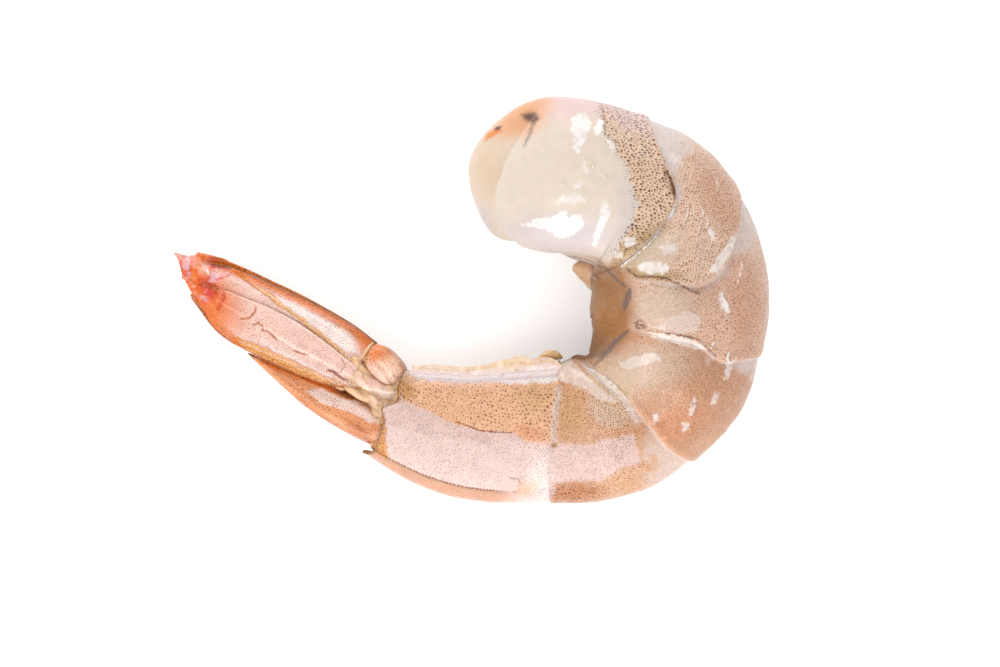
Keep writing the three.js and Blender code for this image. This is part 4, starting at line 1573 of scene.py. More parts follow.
@dataclass
class JointTissue:
    """The glassy tissue between the fan and the sixth segment: lumps that have run together."""

    fan: FanFrame
    lumps: Rows = (  # a, b, c and the three half sizes
        (2.8, 1.7, 1.9, 2.4, 0.95, 1.3),
        (1.1, 2.3, 1.9, 1.6, 1.1, 1.4),
        (0.7, 0.9, 1.5, 1.4, 1.3, 1.5),
        (0.9, 3.8, 1.7, 1.1, 1.3, 1.3),
        (4.6, 1.2, 2.3, 2.0, 1.0, 1.1),
        (5.1, -0.5, 1.7, 2.6, 0.7, 1.2),
        (2.6, 0.4, 1.9, 1.6, 0.9, 1.1),
        (0.6, 0.0, 1.6, 0.9, 0.9, 1.2),
        (8.2, -1.3, 1.5, 2.2, 0.4, 0.8),
        (6.9, 2.6, 2.2, 0.9, 0.7, 0.9),
        (5.4, 2.3, 2.2, 1.3, 0.6, 0.9),
        (8.1, 2.8, 2.0, 0.8, 0.35, 0.6),
        (6.6, 4.4, 2.1, 0.35, 1.5, 1.0),
        (1.8, -0.3, 1.3, 1.3, 0.6, 1.3),
        (0.2, 0.0, 1.0, 0.8, 1.0, 1.5),
        (-0.3, 1.5, 1.5, 1.0, 1.6, 1.5),
        (-0.2, -1.2, 1.0, 0.7, 1.3, 1.9),
        (-0.9, -3.0, 0.6, 0.9, 1.3, 2.0),
        (-1.2, -4.3, 0.2, 0.9, 0.9, 1.6),
        (1.0, -1.0, 0.9, 1.0, 0.9, 1.6),
        (-0.4, 1.6, 2.2, 0.9, 1.4, 1.6),
        (-0.3, 3.2, 2.3, 0.8, 1.2, 1.6),
    )
    washes: Marks = (
        Wash(Tone.FAN, (4.0, 1.3), (2.2, 0.8), -20, 0.8),
        Wash(Tone.SHELL, (1.6, 0.8), (1.4, 0.8), -30, 0.6),
        Wash(Tone.FAN_TAN, (-0.8, -4.0), (1.8, 1.8), 0, 0.9),
        Stroke(
            Tone.TISSUE_DEEP, ((0.4, -0.4), (-0.1, -1.6), (-0.7, -2.6), (-1.0, -3.8), (-1.3, -5.0)), 0.14,
            0.8, 0.15,
        ),
        Stroke(
            Tone.TISSUE_DEEP, ((8.5, -0.6), (6.4, -0.4), (3.2, 0.4), (1.0, 0.5), (0.3, -0.4)), 0.1, 0.8,
            0.12,
        ),
        Stroke(
            Tone.TISSUE_DEEP, ((0.2, 4.8), (-0.1, 3.6), (0.6, 2.8), (2.4, 2.5), (4.0, 2.9)), 0.1, 0.8, 0.12,
        ),
        Stroke(Tone.TISSUE_DEEP, ((8.3, 3.0), (6.9, 2.2), (5.4, 2.0), (3.8, 1.3)), 0.08, 0.7, 0.12),
        Stroke(Tone.TISSUE_DEEP, ((1.4, 0.8), (-0.2, 1.6), (-1.0, 2.6)), 0.12, 0.8, 0.12),
        Stroke(Tone.GLINT, ((2.4, 1.3), (1.5, 1.6), (0.8, 2.2), (0.3, 2.9)), 0.12, 0.7, 0.1),
        Stroke(Tone.GLINT, ((4.0, 0.6), (2.6, 0.9)), 0.08, 0.6, 0.1),
    )
    voxel: float = 0.16

    def make(self, material: bpy.types.Material) -> bpy.types.Object:
        """Builds the tissue.

        Args:
            material: the tissue finish.

        Returns:
            The piece.
        """
        return melted("joint_tissue", self.fan, self.lumps, self.washes, self.voxel, material, "blade_base")


@dataclass
class HingeKnob:
    """The small golden knob where the shell's flank meets the tissue of the fan."""

    fan: FanFrame
    lumps: Rows = (
        (-0.3, 3.4, 3.7, 0.55, 0.5, 0.5),
        (0.0, 2.5, 3.5, 0.3, 0.8, 0.4),
        (-0.1, 4.3, 3.3, 0.3, 0.8, 0.5),
        (-0.9, 3.5, 3.8, 0.7, 0.3, 0.4),
    )
    voxel: float = 0.1

    def make(self, material: bpy.types.Material) -> bpy.types.Object:
        """Builds the knob.

        Args:
            material: the tissue finish.

        Returns:
            The piece.
        """
        washes = (Wash(Tone.FAN_ORANGE, self.lumps[0][:2], (0.4, 0.4)),)
        return melted("hinge_knob", self.fan, self.lumps, washes, self.voxel, material, "shell")


def melted(
    name: str,
    fan: FanFrame,
    parts: tuple,
    washes: tuple,
    voxel: float,
    material: bpy.types.Material,
    slot: str,
) -> bpy.types.Object:
    """Runs balls together into one smooth lump.

    Args:
        name: the piece's name.
        fan: the frame that the balls are placed in.
        parts: for each ball its a, b and c and three half sizes.
        washes: what is painted on it, on a chart of a and b.
        voxel: the fineness of the lump.
        material: its finish.
        slot: the record's material slot.

    Returns:
        The piece.
    """
    balls = []
    for a, b, c, *half in parts:
        ball = added("ball", bpy.ops.mesh.primitive_ico_sphere_add, subdivisions=4, radius=1)
        local = vertex_spots(ball) * np.array(half) + np.array([a, b, c])
        place_vertices(ball, fan.point(*local.T))
        balls.append(ball)
    bpy.ops.object.select_all(action="DESELECT")
    for ball in balls:
        ball.select_set(True)
    bpy.context.view_layer.objects.active = balls[0]
    bpy.ops.object.join()
    whole = bpy.context.object
    whole.name = name
    modify(whole, "REMESH", mode="VOXEL", voxel_size=voxel * MM)
    modify(whole, "SMOOTH", factor=0.6, iterations=6)
    spots = vertex_spots(whole) / MM
    spots += 0.05 * lumps(spots, 0.8, 51)[:, None] * np.array([0.3, 0.3, 1.0])
    place_vertices(whole, spots)
    away = spots - np.array(fan.root)
    chart = np.column_stack([away @ fan.along, away @ fan.belly])
    keep_colour(whole, "tissue_tone", painted(chart, albedo(Tone.TISSUE), washes, 0.2))
    return settle(whole, material, slot)


@dataclass
class BellyStrip:
    """A torn strip of soft skin that lies on the flank first and then stands out of the belly."""

    spine: Spine
    along: int = 260
    across: int = 20
    start: float = 10.52
    end: float = 14.75
    root_turn: float = 143.5
    leave_turn: float = 150.0
    hold: float = 0.4  # the share of the strip that lies on the flank
    gold: float = 0.55  # strength of the golden lines along it
    thick: float = 0.1
    widths: tuple[float, ...] = (0.3, 1.5, 1.9, 2.3, 1.6, 1.3, 1.2, 1.3, 1.25, 1.3, 1.3, 0.9)

    def make(self, material: bpy.types.Material) -> bpy.types.Object:
        """Builds the strip.

        Args:
            material: the tissue finish.

        Returns:
            The piece.
        """
        obj, across, along = grid_piece("belly_strip", self.across, self.along)
        place = mix(np.full(len(along), self.start), self.end, along)
        hugging = np.minimum(across / self.hold, 1)
        free = np.maximum((across - self.hold) / (1 - self.hold), 0)
        whole = smooth(along, 0, 0.08) * (1 - smooth(along, 0.92, 1))
        turn = np.radians(self.leave_turn - (self.leave_turn - self.root_turn) * whole * (1 - hugging))
        root = self.spine.skin(place, turn, mix(-0.2, 0.16, np.sqrt(hugging)))
        _, _, back, near, _ = self.spine.frame(place)
        torn = 1 + 0.16 * lumps(np.column_stack([along * 20, along]), 1.0, 61)
        torn += 0.06 * lumps(np.column_stack([along * 40, along]), 1.0, 62)
        width = profile_at(self.widths, along) * torn
        curl = 0.12 * np.sin(along * 40) * free**2
        lift = curl + 0.1 * lumps(np.column_stack([along * 30, free * 2]), 1.0, 63) * smooth(free, 0, 0.3)
        place_vertices(obj, root - back * (width * free)[:, None] + near * lift[:, None])
        streak = smooth(lumps(np.column_stack([along * 14, across * 3]), 1.0, 64), -0.4, 0.6)
        # the part lying on the flank is painted in the strip's sheen tone, a painted highlight; the free edge
        # keeps the strip's own colour
        outer = smooth(free, 0.5, 0.7) * (0.5 + 0.5 * streak)
        tones = mix(albedo(Tone.STRIP_WHITE), albedo(Tone.STRIP), outer[:, None])
        flap = bell(along, 0.3, 0.1) * smooth(free, 0.2, 0.5)
        gold = np.maximum(bell(free, 0.6 + 0.1 * streak, 0.06), bell(free, 1.0, 0.07)) * (across > self.hold)
        tones = mix(tones, albedo(Tone.FAN_TAN), (self.gold * gold)[:, None])
        tones = mix(tones, albedo(Tone.BEAD), (self.gold * flap)[:, None])
        keep_colour(obj, "tissue_tone", tones)
        thicken(obj, self.thick, 0.0)
        return settle(obj, material, "shell")


@dataclass
class BellyBead:
    """A bead of soft tissue inside the curl."""

    name: str = "belly_bead"
    tone: Tone = Tone.BEAD
    middle: tuple[float, float, float] = (10.0, -6.75, 8.3)
    half: tuple[float, float, float] = (1.5, 0.62, 0.8)
    lean: float = 0.0

    def make(self, material: bpy.types.Material) -> bpy.types.Object:
        """Builds the bead.

        Args:
            material: the tissue finish.

        Returns:
            The piece.
        """
        bead = added(self.name, bpy.ops.mesh.primitive_ico_sphere_add, subdivisions=5, radius=1)
        spots = vertex_spots(bead) * np.array(self.half)
        spots[:, 1] -= 0.12 * spots[:, 0] ** 2
        spots += 0.08 * lumps(spots, 0.7, 71)[:, None]
        c, s = math.cos(math.radians(self.lean)), math.sin(math.radians(self.lean))
        spots = spots @ np.array([[c, s, 0], [-s, c, 0], [0, 0, 1]])
        place_vertices(bead, spots + np.array(self.middle))
        keep_colour(bead, "tissue_tone", np.broadcast_to(albedo(self.tone), (len(spots), 4)))
        return settle(bead, material, "flesh")


@dataclass
class Bristles:
    """The fine bristles along the rear margins of the blades."""

    fan: FanFrame
    blades: tuple[Blade, Blade]
    radius: float = 0.025
    seed: int = 7

    def make(self, material: bpy.types.Material) -> bpy.types.Object:
        """Builds all the bristles as one joined mesh.

        Args:
            material: the bristle finish.

        Returns:
            The piece.
        """
        luck = np.random.default_rng(self.seed)
        roots, tips = [], []
        for blade, sign, first, last, count in (
            (self.blades[1], 1, 0.62, 1.0, 70),
            (self.blades[1], -1, 0.7, 1.0, 60),
            (self.blades[0], -1, 0.9, 1.0, 22),
        ):
            along = np.linspace(first, last, count) + luck.uniform(-0.003, 0.003, count)
            along = np.clip(along, 0, 1)
            b = profile_at(blade.inner, along)
            tip = blade.near if sign > 0 else blade.far
            a = mix(blade.root, tip, along) - blade.point * smooth(along, 0.75, 1)
            c = sign * (blade.lift - blade.drooped(along))
            root = self.fan.point(a, b + 0.08, c)
            long = luck.uniform(0.35, 0.75, count)
            slant = np.radians(luck.uniform(25, 50, count))
            tip_spot = self.fan.point(a + long * np.sin(slant) * 1.2, b - long * np.cos(slant), c)
            roots.append(root)
            tips.append(tip_spot)
        root, tip = np.vstack(roots), np.vstack(tips)
        way = tip - root
        way /= np.linalg.norm(way, axis=1, keepdims=True)
        side = np.cross(way, [0.0, 0.0, 1.0])
        side /= np.linalg.norm(side, axis=1, keepdims=True)
        up = np.cross(side, way)
        corners_of = [
            root + self.radius * (side * math.cos(angle) + up * math.sin(angle))
            for angle in (0.0, 2 * math.pi / 3, 4 * math.pi / 3)
        ]
        spots = np.stack([*corners_of, tip], axis=1).reshape(-1, 3)
        spots[:, 2] = np.maximum(spots[:, 2], 0.0)
        faces = [
            tuple(4 * index + corner for corner in face)
            for index in range(len(root))
            for face in ((0, 1, 3), (1, 2, 3), (2, 0, 3), (0, 2, 1))
        ]
        mesh = bpy.data.meshes.new("fan_bristles")
        mesh.from_pydata((spots * MM).tolist(), [], faces)
        obj = bpy.data.objects.new("fan_bristles", mesh)
        bpy.context.scene.collection.objects.link(obj)
        place_vertices(obj, spots)
        return settle(obj, material, "inner_blade")


# ---- Shader groups -------------------------------------------------------------------------------


class Nodes:
    """A hand on a node tree, which adds nodes and wires them."""

    def __init__(self, tree: bpy.types.NodeTree) -> None:
        """Takes the tree to work on."""
        self.tree = tree

    def add(self, kind: str, wires: dict | None = None, **settings: str | float | bool) -> bpy.types.Node:
        """Adds a node.

        Args:
            kind: the node's type.
            wires: a value or another node's output for each of its inputs.
            settings: the node's own settings.

        Returns:
            The new node.
        """
        node = self.tree.nodes.new(kind)
        for name, value in settings.items():
            setattr(node, name, value)
        for socket, value in (wires or {}).items():
            self.fill(node, socket, value)
        return node

    def fill(self, node: bpy.types.Node, socket: str | int, value: object) -> None:
        """Fills a socket with another node's output, a tone or a plain value."""
        if isinstance(value, bpy.types.NodeSocket):
            self.tree.links.new(value, node.inputs[socket])
        else:
            node.inputs[socket].default_value = tuple(albedo(value)) if isinstance(value, Tone) else value

    def group(self, tree: bpy.types.NodeTree, **wires: object) -> bpy.types.NodeSocket:
        """Places a shader group and gives its only output."""
        return self.add("ShaderNodeGroup", wires, node_tree=tree).outputs[0]

    def maths(
        self, operation: str, first: object, second: object = 0.0, clamp: bool = False
    ) -> bpy.types.NodeSocket:
        """Adds a Math node and gives its output."""
        wires = {0: first, 1: second}
        return self.add("ShaderNodeMath", wires, operation=operation, use_clamp=clamp).outputs[0]

    def plus(self, first: object, second: object) -> bpy.types.NodeSocket:
        """Adds two values and gives the output."""
        return self.maths("ADD", first, second)

    def times(self, first: object, second: object) -> bpy.types.NodeSocket:
        """Multiplies two values and gives the output."""
        return self.maths("MULTIPLY", first, second)

    def blend(self, share: object, start: object, end: object) -> bpy.types.NodeSocket:
        """Mixes two colours and gives the output."""
        return self.add("ShaderNodeMix", {0: share, 6: start, 7: end}, data_type="RGBA").outputs[2]

    def multiplied(self, start: object, share: object) -> bpy.types.NodeSocket:
        """Multiplies a colour by a value and gives the output."""
        wires = {0: 1.0, 6: start, 7: share}
        return self.add("ShaderNodeMix", wires, data_type="RGBA", blend_type="MULTIPLY").outputs[2]

    def ramp(
        self, value: object, low: object, high: object, start: float = 0, end: float = 1
    ) -> bpy.types.NodeSocket:
        """Carries a value smoothly from one range to another and gives the output."""
        wires = {"Value": value, "From Min": low, "From Max": high, "To Min": start, "To Max": end}
        return self.add("ShaderNodeMapRange", wires, interpolation_type="SMOOTHSTEP").outputs[0]

    def noise(self, place: bpy.types.NodeSocket, size: float, detail: float = 2.0) -> bpy.types.NodeSocket:
        """Adds soft noise with features of one size in millimetres and gives its value."""
        wires = {"Vector": place, "Scale": 1 / (size * MM), "Detail": detail}
        return self.add("ShaderNodeTexNoise", wires).outputs["Fac"]

    def bump(self, height: bpy.types.NodeSocket) -> bpy.types.NodeSocket:
        """Turns a height in millimetres into a normal."""
        wires = {"Height": height, "Distance": MM, "Strength": 1.0}
        return self.add("ShaderNodeBump", wires).outputs[0]

    def attribute(self, name: str, output: str = "Fac") -> bpy.types.NodeSocket:
        """Reads an attribute of the mesh."""
        return self.add("ShaderNodeAttribute", attribute_name=name).outputs[output]


def new_group(name: str, inputs: dict[str, tuple[str, object]], outputs: dict[str, str]) -> tuple:
    """Starts a shader group.

    Args:
        name: the group's name.
        inputs: each input's kind and default.
        outputs: each output's kind.

    Returns:
        The group, a hand on its nodes, its input node and its output node.
    """
    tree = bpy.data.node_groups.new(name, "ShaderNodeTree")
    for label, (kind, default) in inputs.items():
        socket = tree.interface.new_socket(label, in_out="INPUT", socket_type=f"NodeSocket{kind}")
        if default is not None:
            socket.default_value = default
    for label, kind in outputs.items():
        tree.interface.new_socket(label, in_out="OUTPUT", socket_type=f"NodeSocket{kind}")
    hand = Nodes(tree)
    return tree, hand, hand.add("NodeGroupInput"), hand.add("NodeGroupOutput")


def pigment_dots_group() -> bpy.types.NodeTree:
    """Makes the group that scatters small round pigment cells over a flat chart in millimetres.

    The cells sit on a loosened lattice of even triangles. It is skewed into squares for the cell texture, and
    the way to the nearest cell is skewed back, so that the dots stay round.
    """
    inputs = {
        "Chart": ("Vector", None),
        "Spacing": ("Float", 0.5),
        "Radius": ("Float", 0.1),
        "Soft": ("Float", 0.4),
    }
    tree, hand, start, end = new_group("pigment dots", inputs, {"Mask": "Float"})
    chart, soft = start.outputs["Chart"], start.outputs["Soft"]

    def vector(operation: str, output: str, wires: dict) -> bpy.types.NodeSocket:
        return hand.add("ShaderNodeVectorMath", wires, operation=operation).outputs[output]

    def skewed(way: bpy.types.NodeSocket, first: tuple, second: tuple) -> bpy.types.NodeSocket:
        rows = enumerate((first, second))
        wires = {axis: vector("DOT_PRODUCT", "Value", {0: way, 1: row}) for axis, row in rows}
        return hand.add("ShaderNodeCombineXYZ", wires).outputs[0]

    waver = hand.add("ShaderNodeTexNoise", {"Vector": chart, "Scale": 0.22, "Detail": 0.0}).outputs["Color"]
    bent = vector("MULTIPLY_ADD", "Vector", {0: waver, 1: (1.5, 1.5, 1.5), 2: chart})
    lattice = skewed(bent, (1.0, -1 / math.sqrt(3), 0.0), (0.0, 2 / math.sqrt(3), 0.0))
    scale = hand.maths("DIVIDE", 1.0, start.outputs["Spacing"])
    wires = {"Vector": lattice, "Scale": scale, "Randomness": 0.55}
    cells = hand.add("ShaderNodeTexVoronoi", wires, feature="F1", voronoi_dimensions="2D")
    luck = hand.add("ShaderNodeSeparateColor", {0: cells.outputs["Color"]})
    way = vector("SUBTRACT", "Vector", {0: cells.outputs["Position"], 1: lattice})
    away = vector("LENGTH", "Value", {0: skewed(way, (1.0, 0.5, 0.0), (0.0, math.sqrt(3) / 2, 0.0))})
    bigger = hand.plus(hand.times(hand.maths("POWER", luck.outputs[0], 1.6), 0.75), 0.6)
    radius = hand.times(start.outputs["Radius"], bigger)
    inner = hand.times(radius, hand.maths("SUBTRACT", 1.0, soft))
    outer = hand.times(radius, hand.plus(1.0, soft))
    strength = hand.plus(hand.times(luck.outputs[1], 0.4), 0.6)
    hand.fill(end, "Mask", hand.times(hand.ramp(away, inner, outer, 1, 0), strength))
    return tree


def ragged_edge_group() -> bpy.types.NodeTree:
    """Makes the group that turns a distance in millimetres into a mask with a ragged edge."""
    inputs = {
        "Vector": ("Vector", None),
        "Depth": ("Float", 0.0),
        "Wander": ("Float", 0.3),
        "Soft": ("Float", 0.12),
    }
    tree, hand, start, end = new_group("ragged edge", inputs, {"Mask": "Float"})
    wave = hand.maths("SUBTRACT", hand.noise(start.outputs["Vector"], 0.6, 4.0), 0.5)
    depth = hand.plus(start.outputs["Depth"], hand.times(wave, start.outputs["Wander"]))
    soft = start.outputs["Soft"]
    hand.fill(end, "Mask", hand.ramp(depth, hand.times(soft, -1.0), soft))
    return tree


def wet_skin_group() -> bpy.types.NodeTree:
    """Makes the group that gives a wet surface its fine height, in millimetres."""
    inputs = {"Vector": ("Vector", None), "Coarse": ("Float", 0.05), "Fine": ("Float", 0.01)}
    tree, hand, start, end = new_group("wet skin", inputs, {"Height": "Float"})
    vector = start.outputs["Vector"]
    coarse = hand.times(hand.noise(vector, 1.8, 3.0), start.outputs["Coarse"])
    fine = hand.times(hand.noise(vector, 0.35, 3.0), start.outputs["Fine"])
    hand.fill(end, "Height", hand.plus(coarse, fine))
    return tree


@dataclass
class Groups:
    """The shader groups that the finishes share."""

    dots: bpy.types.NodeTree = field(default_factory=pigment_dots_group)
    ragged: bpy.types.NodeTree = field(default_factory=ragged_edge_group)
    wet: bpy.types.NodeTree = field(default_factory=wet_skin_group)


# ---- Finishes ------------------------------------------------------------------------------------


def new_material(name: str) -> tuple[bpy.types.Material, Nodes, bpy.types.Node, bpy.types.NodeSocket]:
    """Starts a material.

    Args:
        name: the material's name.

    Returns:
        The material, a hand on its nodes, its shader and the place on the piece.
    """
    material = bpy.data.materials.new(name)
    material.use_nodes = True
    material.node_tree.nodes.clear()
    hand = Nodes(material.node_tree)
    shader = hand.add("ShaderNodeBsdfPrincipled")
    hand.add("ShaderNodeOutputMaterial", {"Surface": shader.outputs[0]})
    place = hand.add("ShaderNodeTexCoord").outputs["Object"]
    return material, hand, shader, place


def set_shader(hand: Nodes, shader: bpy.types.Node, **values: object) -> None:
    """Fills a shader's sockets; underscores stand for spaces."""
    for name, value in values.items():
        hand.fill(shader, name.replace("_", " "), value)


@dataclass(frozen=True)
class RawFlesh:
    """Wet translucent muscle under a thin dotted skin."""

    groups: Groups
    spacing: float = 0.46
    fine_spacing: float = 0.34
    coarse: float = 0.07
    fine: float = 0.02
    roughness: float = 0.4
    mottle: float = 0.035
    grain: float = 0.12

    def make(self) -> bpy.types.Material:
        """Builds the material."""
        material, hand, shader, place = new_material("raw flesh")
        chart, radius = hand.attribute("dot_chart", "Vector"), hand.attribute("spot_radius")
        fine, large = (
            hand.group(self.groups.dots, Chart=chart, Spacing=spacing, Radius=radius, Soft=0.5)
            for spacing in (self.fine_spacing, self.spacing)
        )
        coarse = hand.attribute("spot_coarse")
        dotted = hand.add("ShaderNodeMix", {0: coarse, 2: fine, 3: large}, data_type="FLOAT").outputs[0]
        depth = hand.attribute("skin_depth")
        mask = self.edge(hand, place, depth, 0.8, 0.3)
        grain = hand.ramp(hand.noise(place, 0.32, 3.0), 0.3, 0.7, 1 - self.grain, 1 + self.grain / 2)
        skin = hand.multiplied(hand.attribute("skin_tone", "Color"), grain)
        base = hand.blend(mask, hand.attribute("bare_tone", "Color"), skin)
        cloud = hand.ramp(hand.noise(place, 1.4, 5.0), 0.3, 0.7, 1 - self.mottle, 1 + self.mottle / 2)
        base = hand.multiplied(base, cloud)
        spread = hand.ramp(hand.plus(depth, hand.noise(place, 0.9)), -0.6, 0.6)
        amount = hand.times(hand.attribute("spot_amount"), spread)
        brown = hand.blend(mask, Tone.DOT_STRAY, hand.blend(coarse, Tone.DOT_FINE, Tone.DOT))
        base = hand.blend(hand.times(dotted, amount), base, brown)
        for name, tone, strength in (("nerve_gap", Tone.NERVE, 0.65), ("border_gap", Tone.BORDER, 0.75)):
            line = self.edge(hand, place, hand.times(hand.attribute(name), -1.0), 0.5, 0.16)
            base = hand.blend(hand.times(line, strength), base, tone)
        # the films' painted highlight: a pale veil and white glints blended into the base colour
        sheen_film = self.edge(hand, place, hand.attribute("sheen_film_depth"), 1.0, 0.22)
        white = hand.attribute("sheen_film_white")
        sheen_veil = hand.plus(hand.times(white, 0.4), 0.25)
        base = hand.blend(hand.times(sheen_film, sheen_veil), base, Tone.FILM)
        shine = hand.times(white, hand.ramp(hand.noise(place, 0.6), 0.3, 0.6, 0.2, 0.75))
        base = hand.blend(hand.times(sheen_film, shine), base, Tone.GLINT)
        # the torn membranes' ridges get painted white glints, broken up by noise
        membrane = hand.attribute("membrane_gap")
        broken = hand.ramp(hand.noise(place, 0.5, 3.0), 0.42, 0.55)
        base = hand.blend(hand.times(hand.ramp(membrane, -0.05, 0.12, 0.85, 0.0), broken), base, Tone.GLINT)
        wet = hand.group(self.groups.wet, Vector=place, Coarse=self.coarse, Fine=self.fine)
        torn = hand.ramp(membrane, 0.0, 0.2, 0.1, 0.0)
        normal = hand.bump(hand.plus(hand.plus(wet, torn), hand.times(sheen_film, 0.04)))
        rough = hand.ramp(hand.noise(place, 1.2), 0.3, 0.7, self.roughness - 0.06, self.roughness + 0.1)
        patchy = hand.ramp(hand.noise(place, 1.1, 4.0), 0.45, 0.62, 0.1, 0.55)
        coat = hand.maths("MAXIMUM", hand.times(patchy, mask), hand.plus(sheen_film, 0.2), clamp=True)
        set_shader(hand, shader, Base_Color=base, Normal=normal, Roughness=rough, Coat_Weight=coat)
        set_shader(hand, shader, Coat_Roughness=0.05, Subsurface_Weight=0.3, Subsurface_Scale=MM)
        set_shader(hand, shader, Subsurface_Radius=(1.6, 1.0, 0.7), IOR=1.4, Specular_IOR_Level=0.3)
        return material

    def edge(
        self,
        hand: Nodes,
        place: bpy.types.NodeSocket,
        depth: bpy.types.NodeSocket,
        wander: float,
        soft: float,
    ) -> bpy.types.NodeSocket:
        """Places the group that turns a depth into a mask with a ragged edge, and gives the mask."""
        return hand.group(self.groups.ragged, Vector=place, Depth=depth, Wander=wander, Soft=soft)


@dataclass(frozen=True)
class Shell:
    """Thin glossy shell with fine dots: the sixth segment and the tail fan."""

    groups: Groups
    name: str
    spacing: float = 0.52
    fine_spacing: float = 0.34
    speck: float = 0.074
    dot: Tone = Tone.DOT
    fine_dot: Tone = Tone.DOT_PALE
    dot_strength: float = 0.85
    coarse: float = 0.03
    fine: float = 0.006
    coat: float = 0.4

    def make(self) -> bpy.types.Material:
        """Builds the material."""
        material, hand, shader, place = new_material(self.name)
        chart = hand.attribute("dot_chart", "Vector")
        large, fine = (
            hand.group(self.groups.dots, Chart=chart, Spacing=spacing, Radius=radius, Soft=0.45)
            for spacing, radius in (
                (self.spacing, hand.attribute("spot_radius")),
                (self.fine_spacing, self.speck),
            )
        )
        spots = hand.attribute("spot_amount")
        cloud = hand.ramp(hand.noise(place, 1.5, 4.0), 0.3, 0.7, 0.92, 1.05)
        base = hand.multiplied(hand.attribute("shell_tone", "Color"), cloud)
        specks = hand.times(fine, hand.attribute("speck_amount"))
        base = hand.blend(specks, base, hand.blend(spots, self.fine_dot, Tone.DOT_FINE))
        base = hand.blend(hand.times(large, hand.times(spots, self.dot_strength)), base, self.dot)
        gap = hand.times(hand.attribute("border_gap"), -1.0)
        line = hand.group(self.groups.ragged, Vector=place, Depth=gap, Wander=0.25, Soft=0.07)
        base = hand.blend(hand.times(line, 0.85), base, Tone.FAN_DARK)
        normal = hand.bump(hand.group(self.groups.wet, Vector=place, Coarse=self.coarse, Fine=self.fine))
        rough = hand.ramp(hand.noise(place, 1.0), 0.3, 0.7, 0.22, 0.36)
        set_shader(hand, shader, Base_Color=base, Normal=normal, Roughness=rough, Coat_Weight=self.coat)
        set_shader(hand, shader, Coat_Roughness=0.04, Subsurface_Weight=0.2, Subsurface_Scale=MM)
        set_shader(hand, shader, Subsurface_Radius=(1.0, 0.6, 0.4), IOR=1.5, Specular_IOR_Level=0.25)
        return material


@dataclass(frozen=True)
class SoftTissue:
    """Glassy yellowish tissue."""

    groups: Groups

    def make(self) -> bpy.types.Material:
        """Builds the material."""
        material, hand, shader, place = new_material("soft tissue")
        cloud = hand.ramp(hand.noise(place, 0.7, 4.0), 0.5, 0.8, 0.0, 0.5)
        base = hand.blend(cloud, hand.attribute("tissue_tone", "Color"), Tone.TISSUE_DEEP)
        ridge = hand.maths("ABSOLUTE", hand.maths("SUBTRACT", hand.noise(place, 0.8, 1.0), 0.5))
        base = hand.blend(hand.ramp(ridge, 0.0, 0.025, 0.3, 0.0), base, Tone.TISSUE_DEEP)
        normal = hand.bump(hand.group(self.groups.wet, Vector=place, Coarse=0.08, Fine=0.015))
        set_shader(hand, shader, Base_Color=base, Normal=normal, Roughness=0.25, Coat_Weight=0.6)
        set_shader(hand, shader, Coat_Roughness=0.03, Subsurface_Weight=0.5, Subsurface_Scale=MM)
        set_shader(hand, shader, Subsurface_Radius=(1.2, 0.8, 0.4), IOR=1.4)
        return material


@dataclass(frozen=True)
class BristleFinish:
    """Dark fine bristles, redder at some roots."""

    def make(self) -> bpy.types.Material:
        """Builds the material."""
        material, hand, shader, place = new_material("bristle")
        cloud = hand.ramp(hand.noise(place, 1.5, 2.0), 0.4, 0.6)
        base = hand.blend(cloud, Tone.BRISTLE, Tone.FAN_DEEP)
        set_shader(hand, shader, Base_Color=base, Roughness=0.4)
        return material


# ---- The studio ----------------------------------------------------------------------------------


@dataclass(frozen=True)
class Panel:
    """A large soft light, from a top edge to a bottom edge, in metres."""

    name: str
    top: tuple[float, float, float]
    bottom: tuple[float, float, float]
    width: float
    radiance: float

    def add(self) -> None:
        """Adds the light, facing the prawn."""
        top, bottom = np.array(self.top), np.array(self.bottom)
        middle, rise = (top + bottom) / 2, top - bottom
        tall = float(np.linalg.norm(rise))
        up = rise / tall
        toward = -middle - up * float(-middle @ up)
        toward /= np.linalg.norm(toward)
        side = np.cross(up, -toward)
        lamp = added(self.name, bpy.ops.object.light_add, type="AREA", location=tuple(middle))
        lamp.rotation_mode = "QUATERNION"
        columns = np.column_stack([side, up, -toward, middle])
        lamp.matrix_world = Matrix([*columns.tolist(), [0.0, 0.0, 0.0, 1.0]])
        lamp.data.shape = "RECTANGLE"
        lamp.data.size, lamp.data.size_y = self.width, tall
        lamp.data.energy = self.radiance * math.pi * self.width * tall
        lamp.visible_camera = False


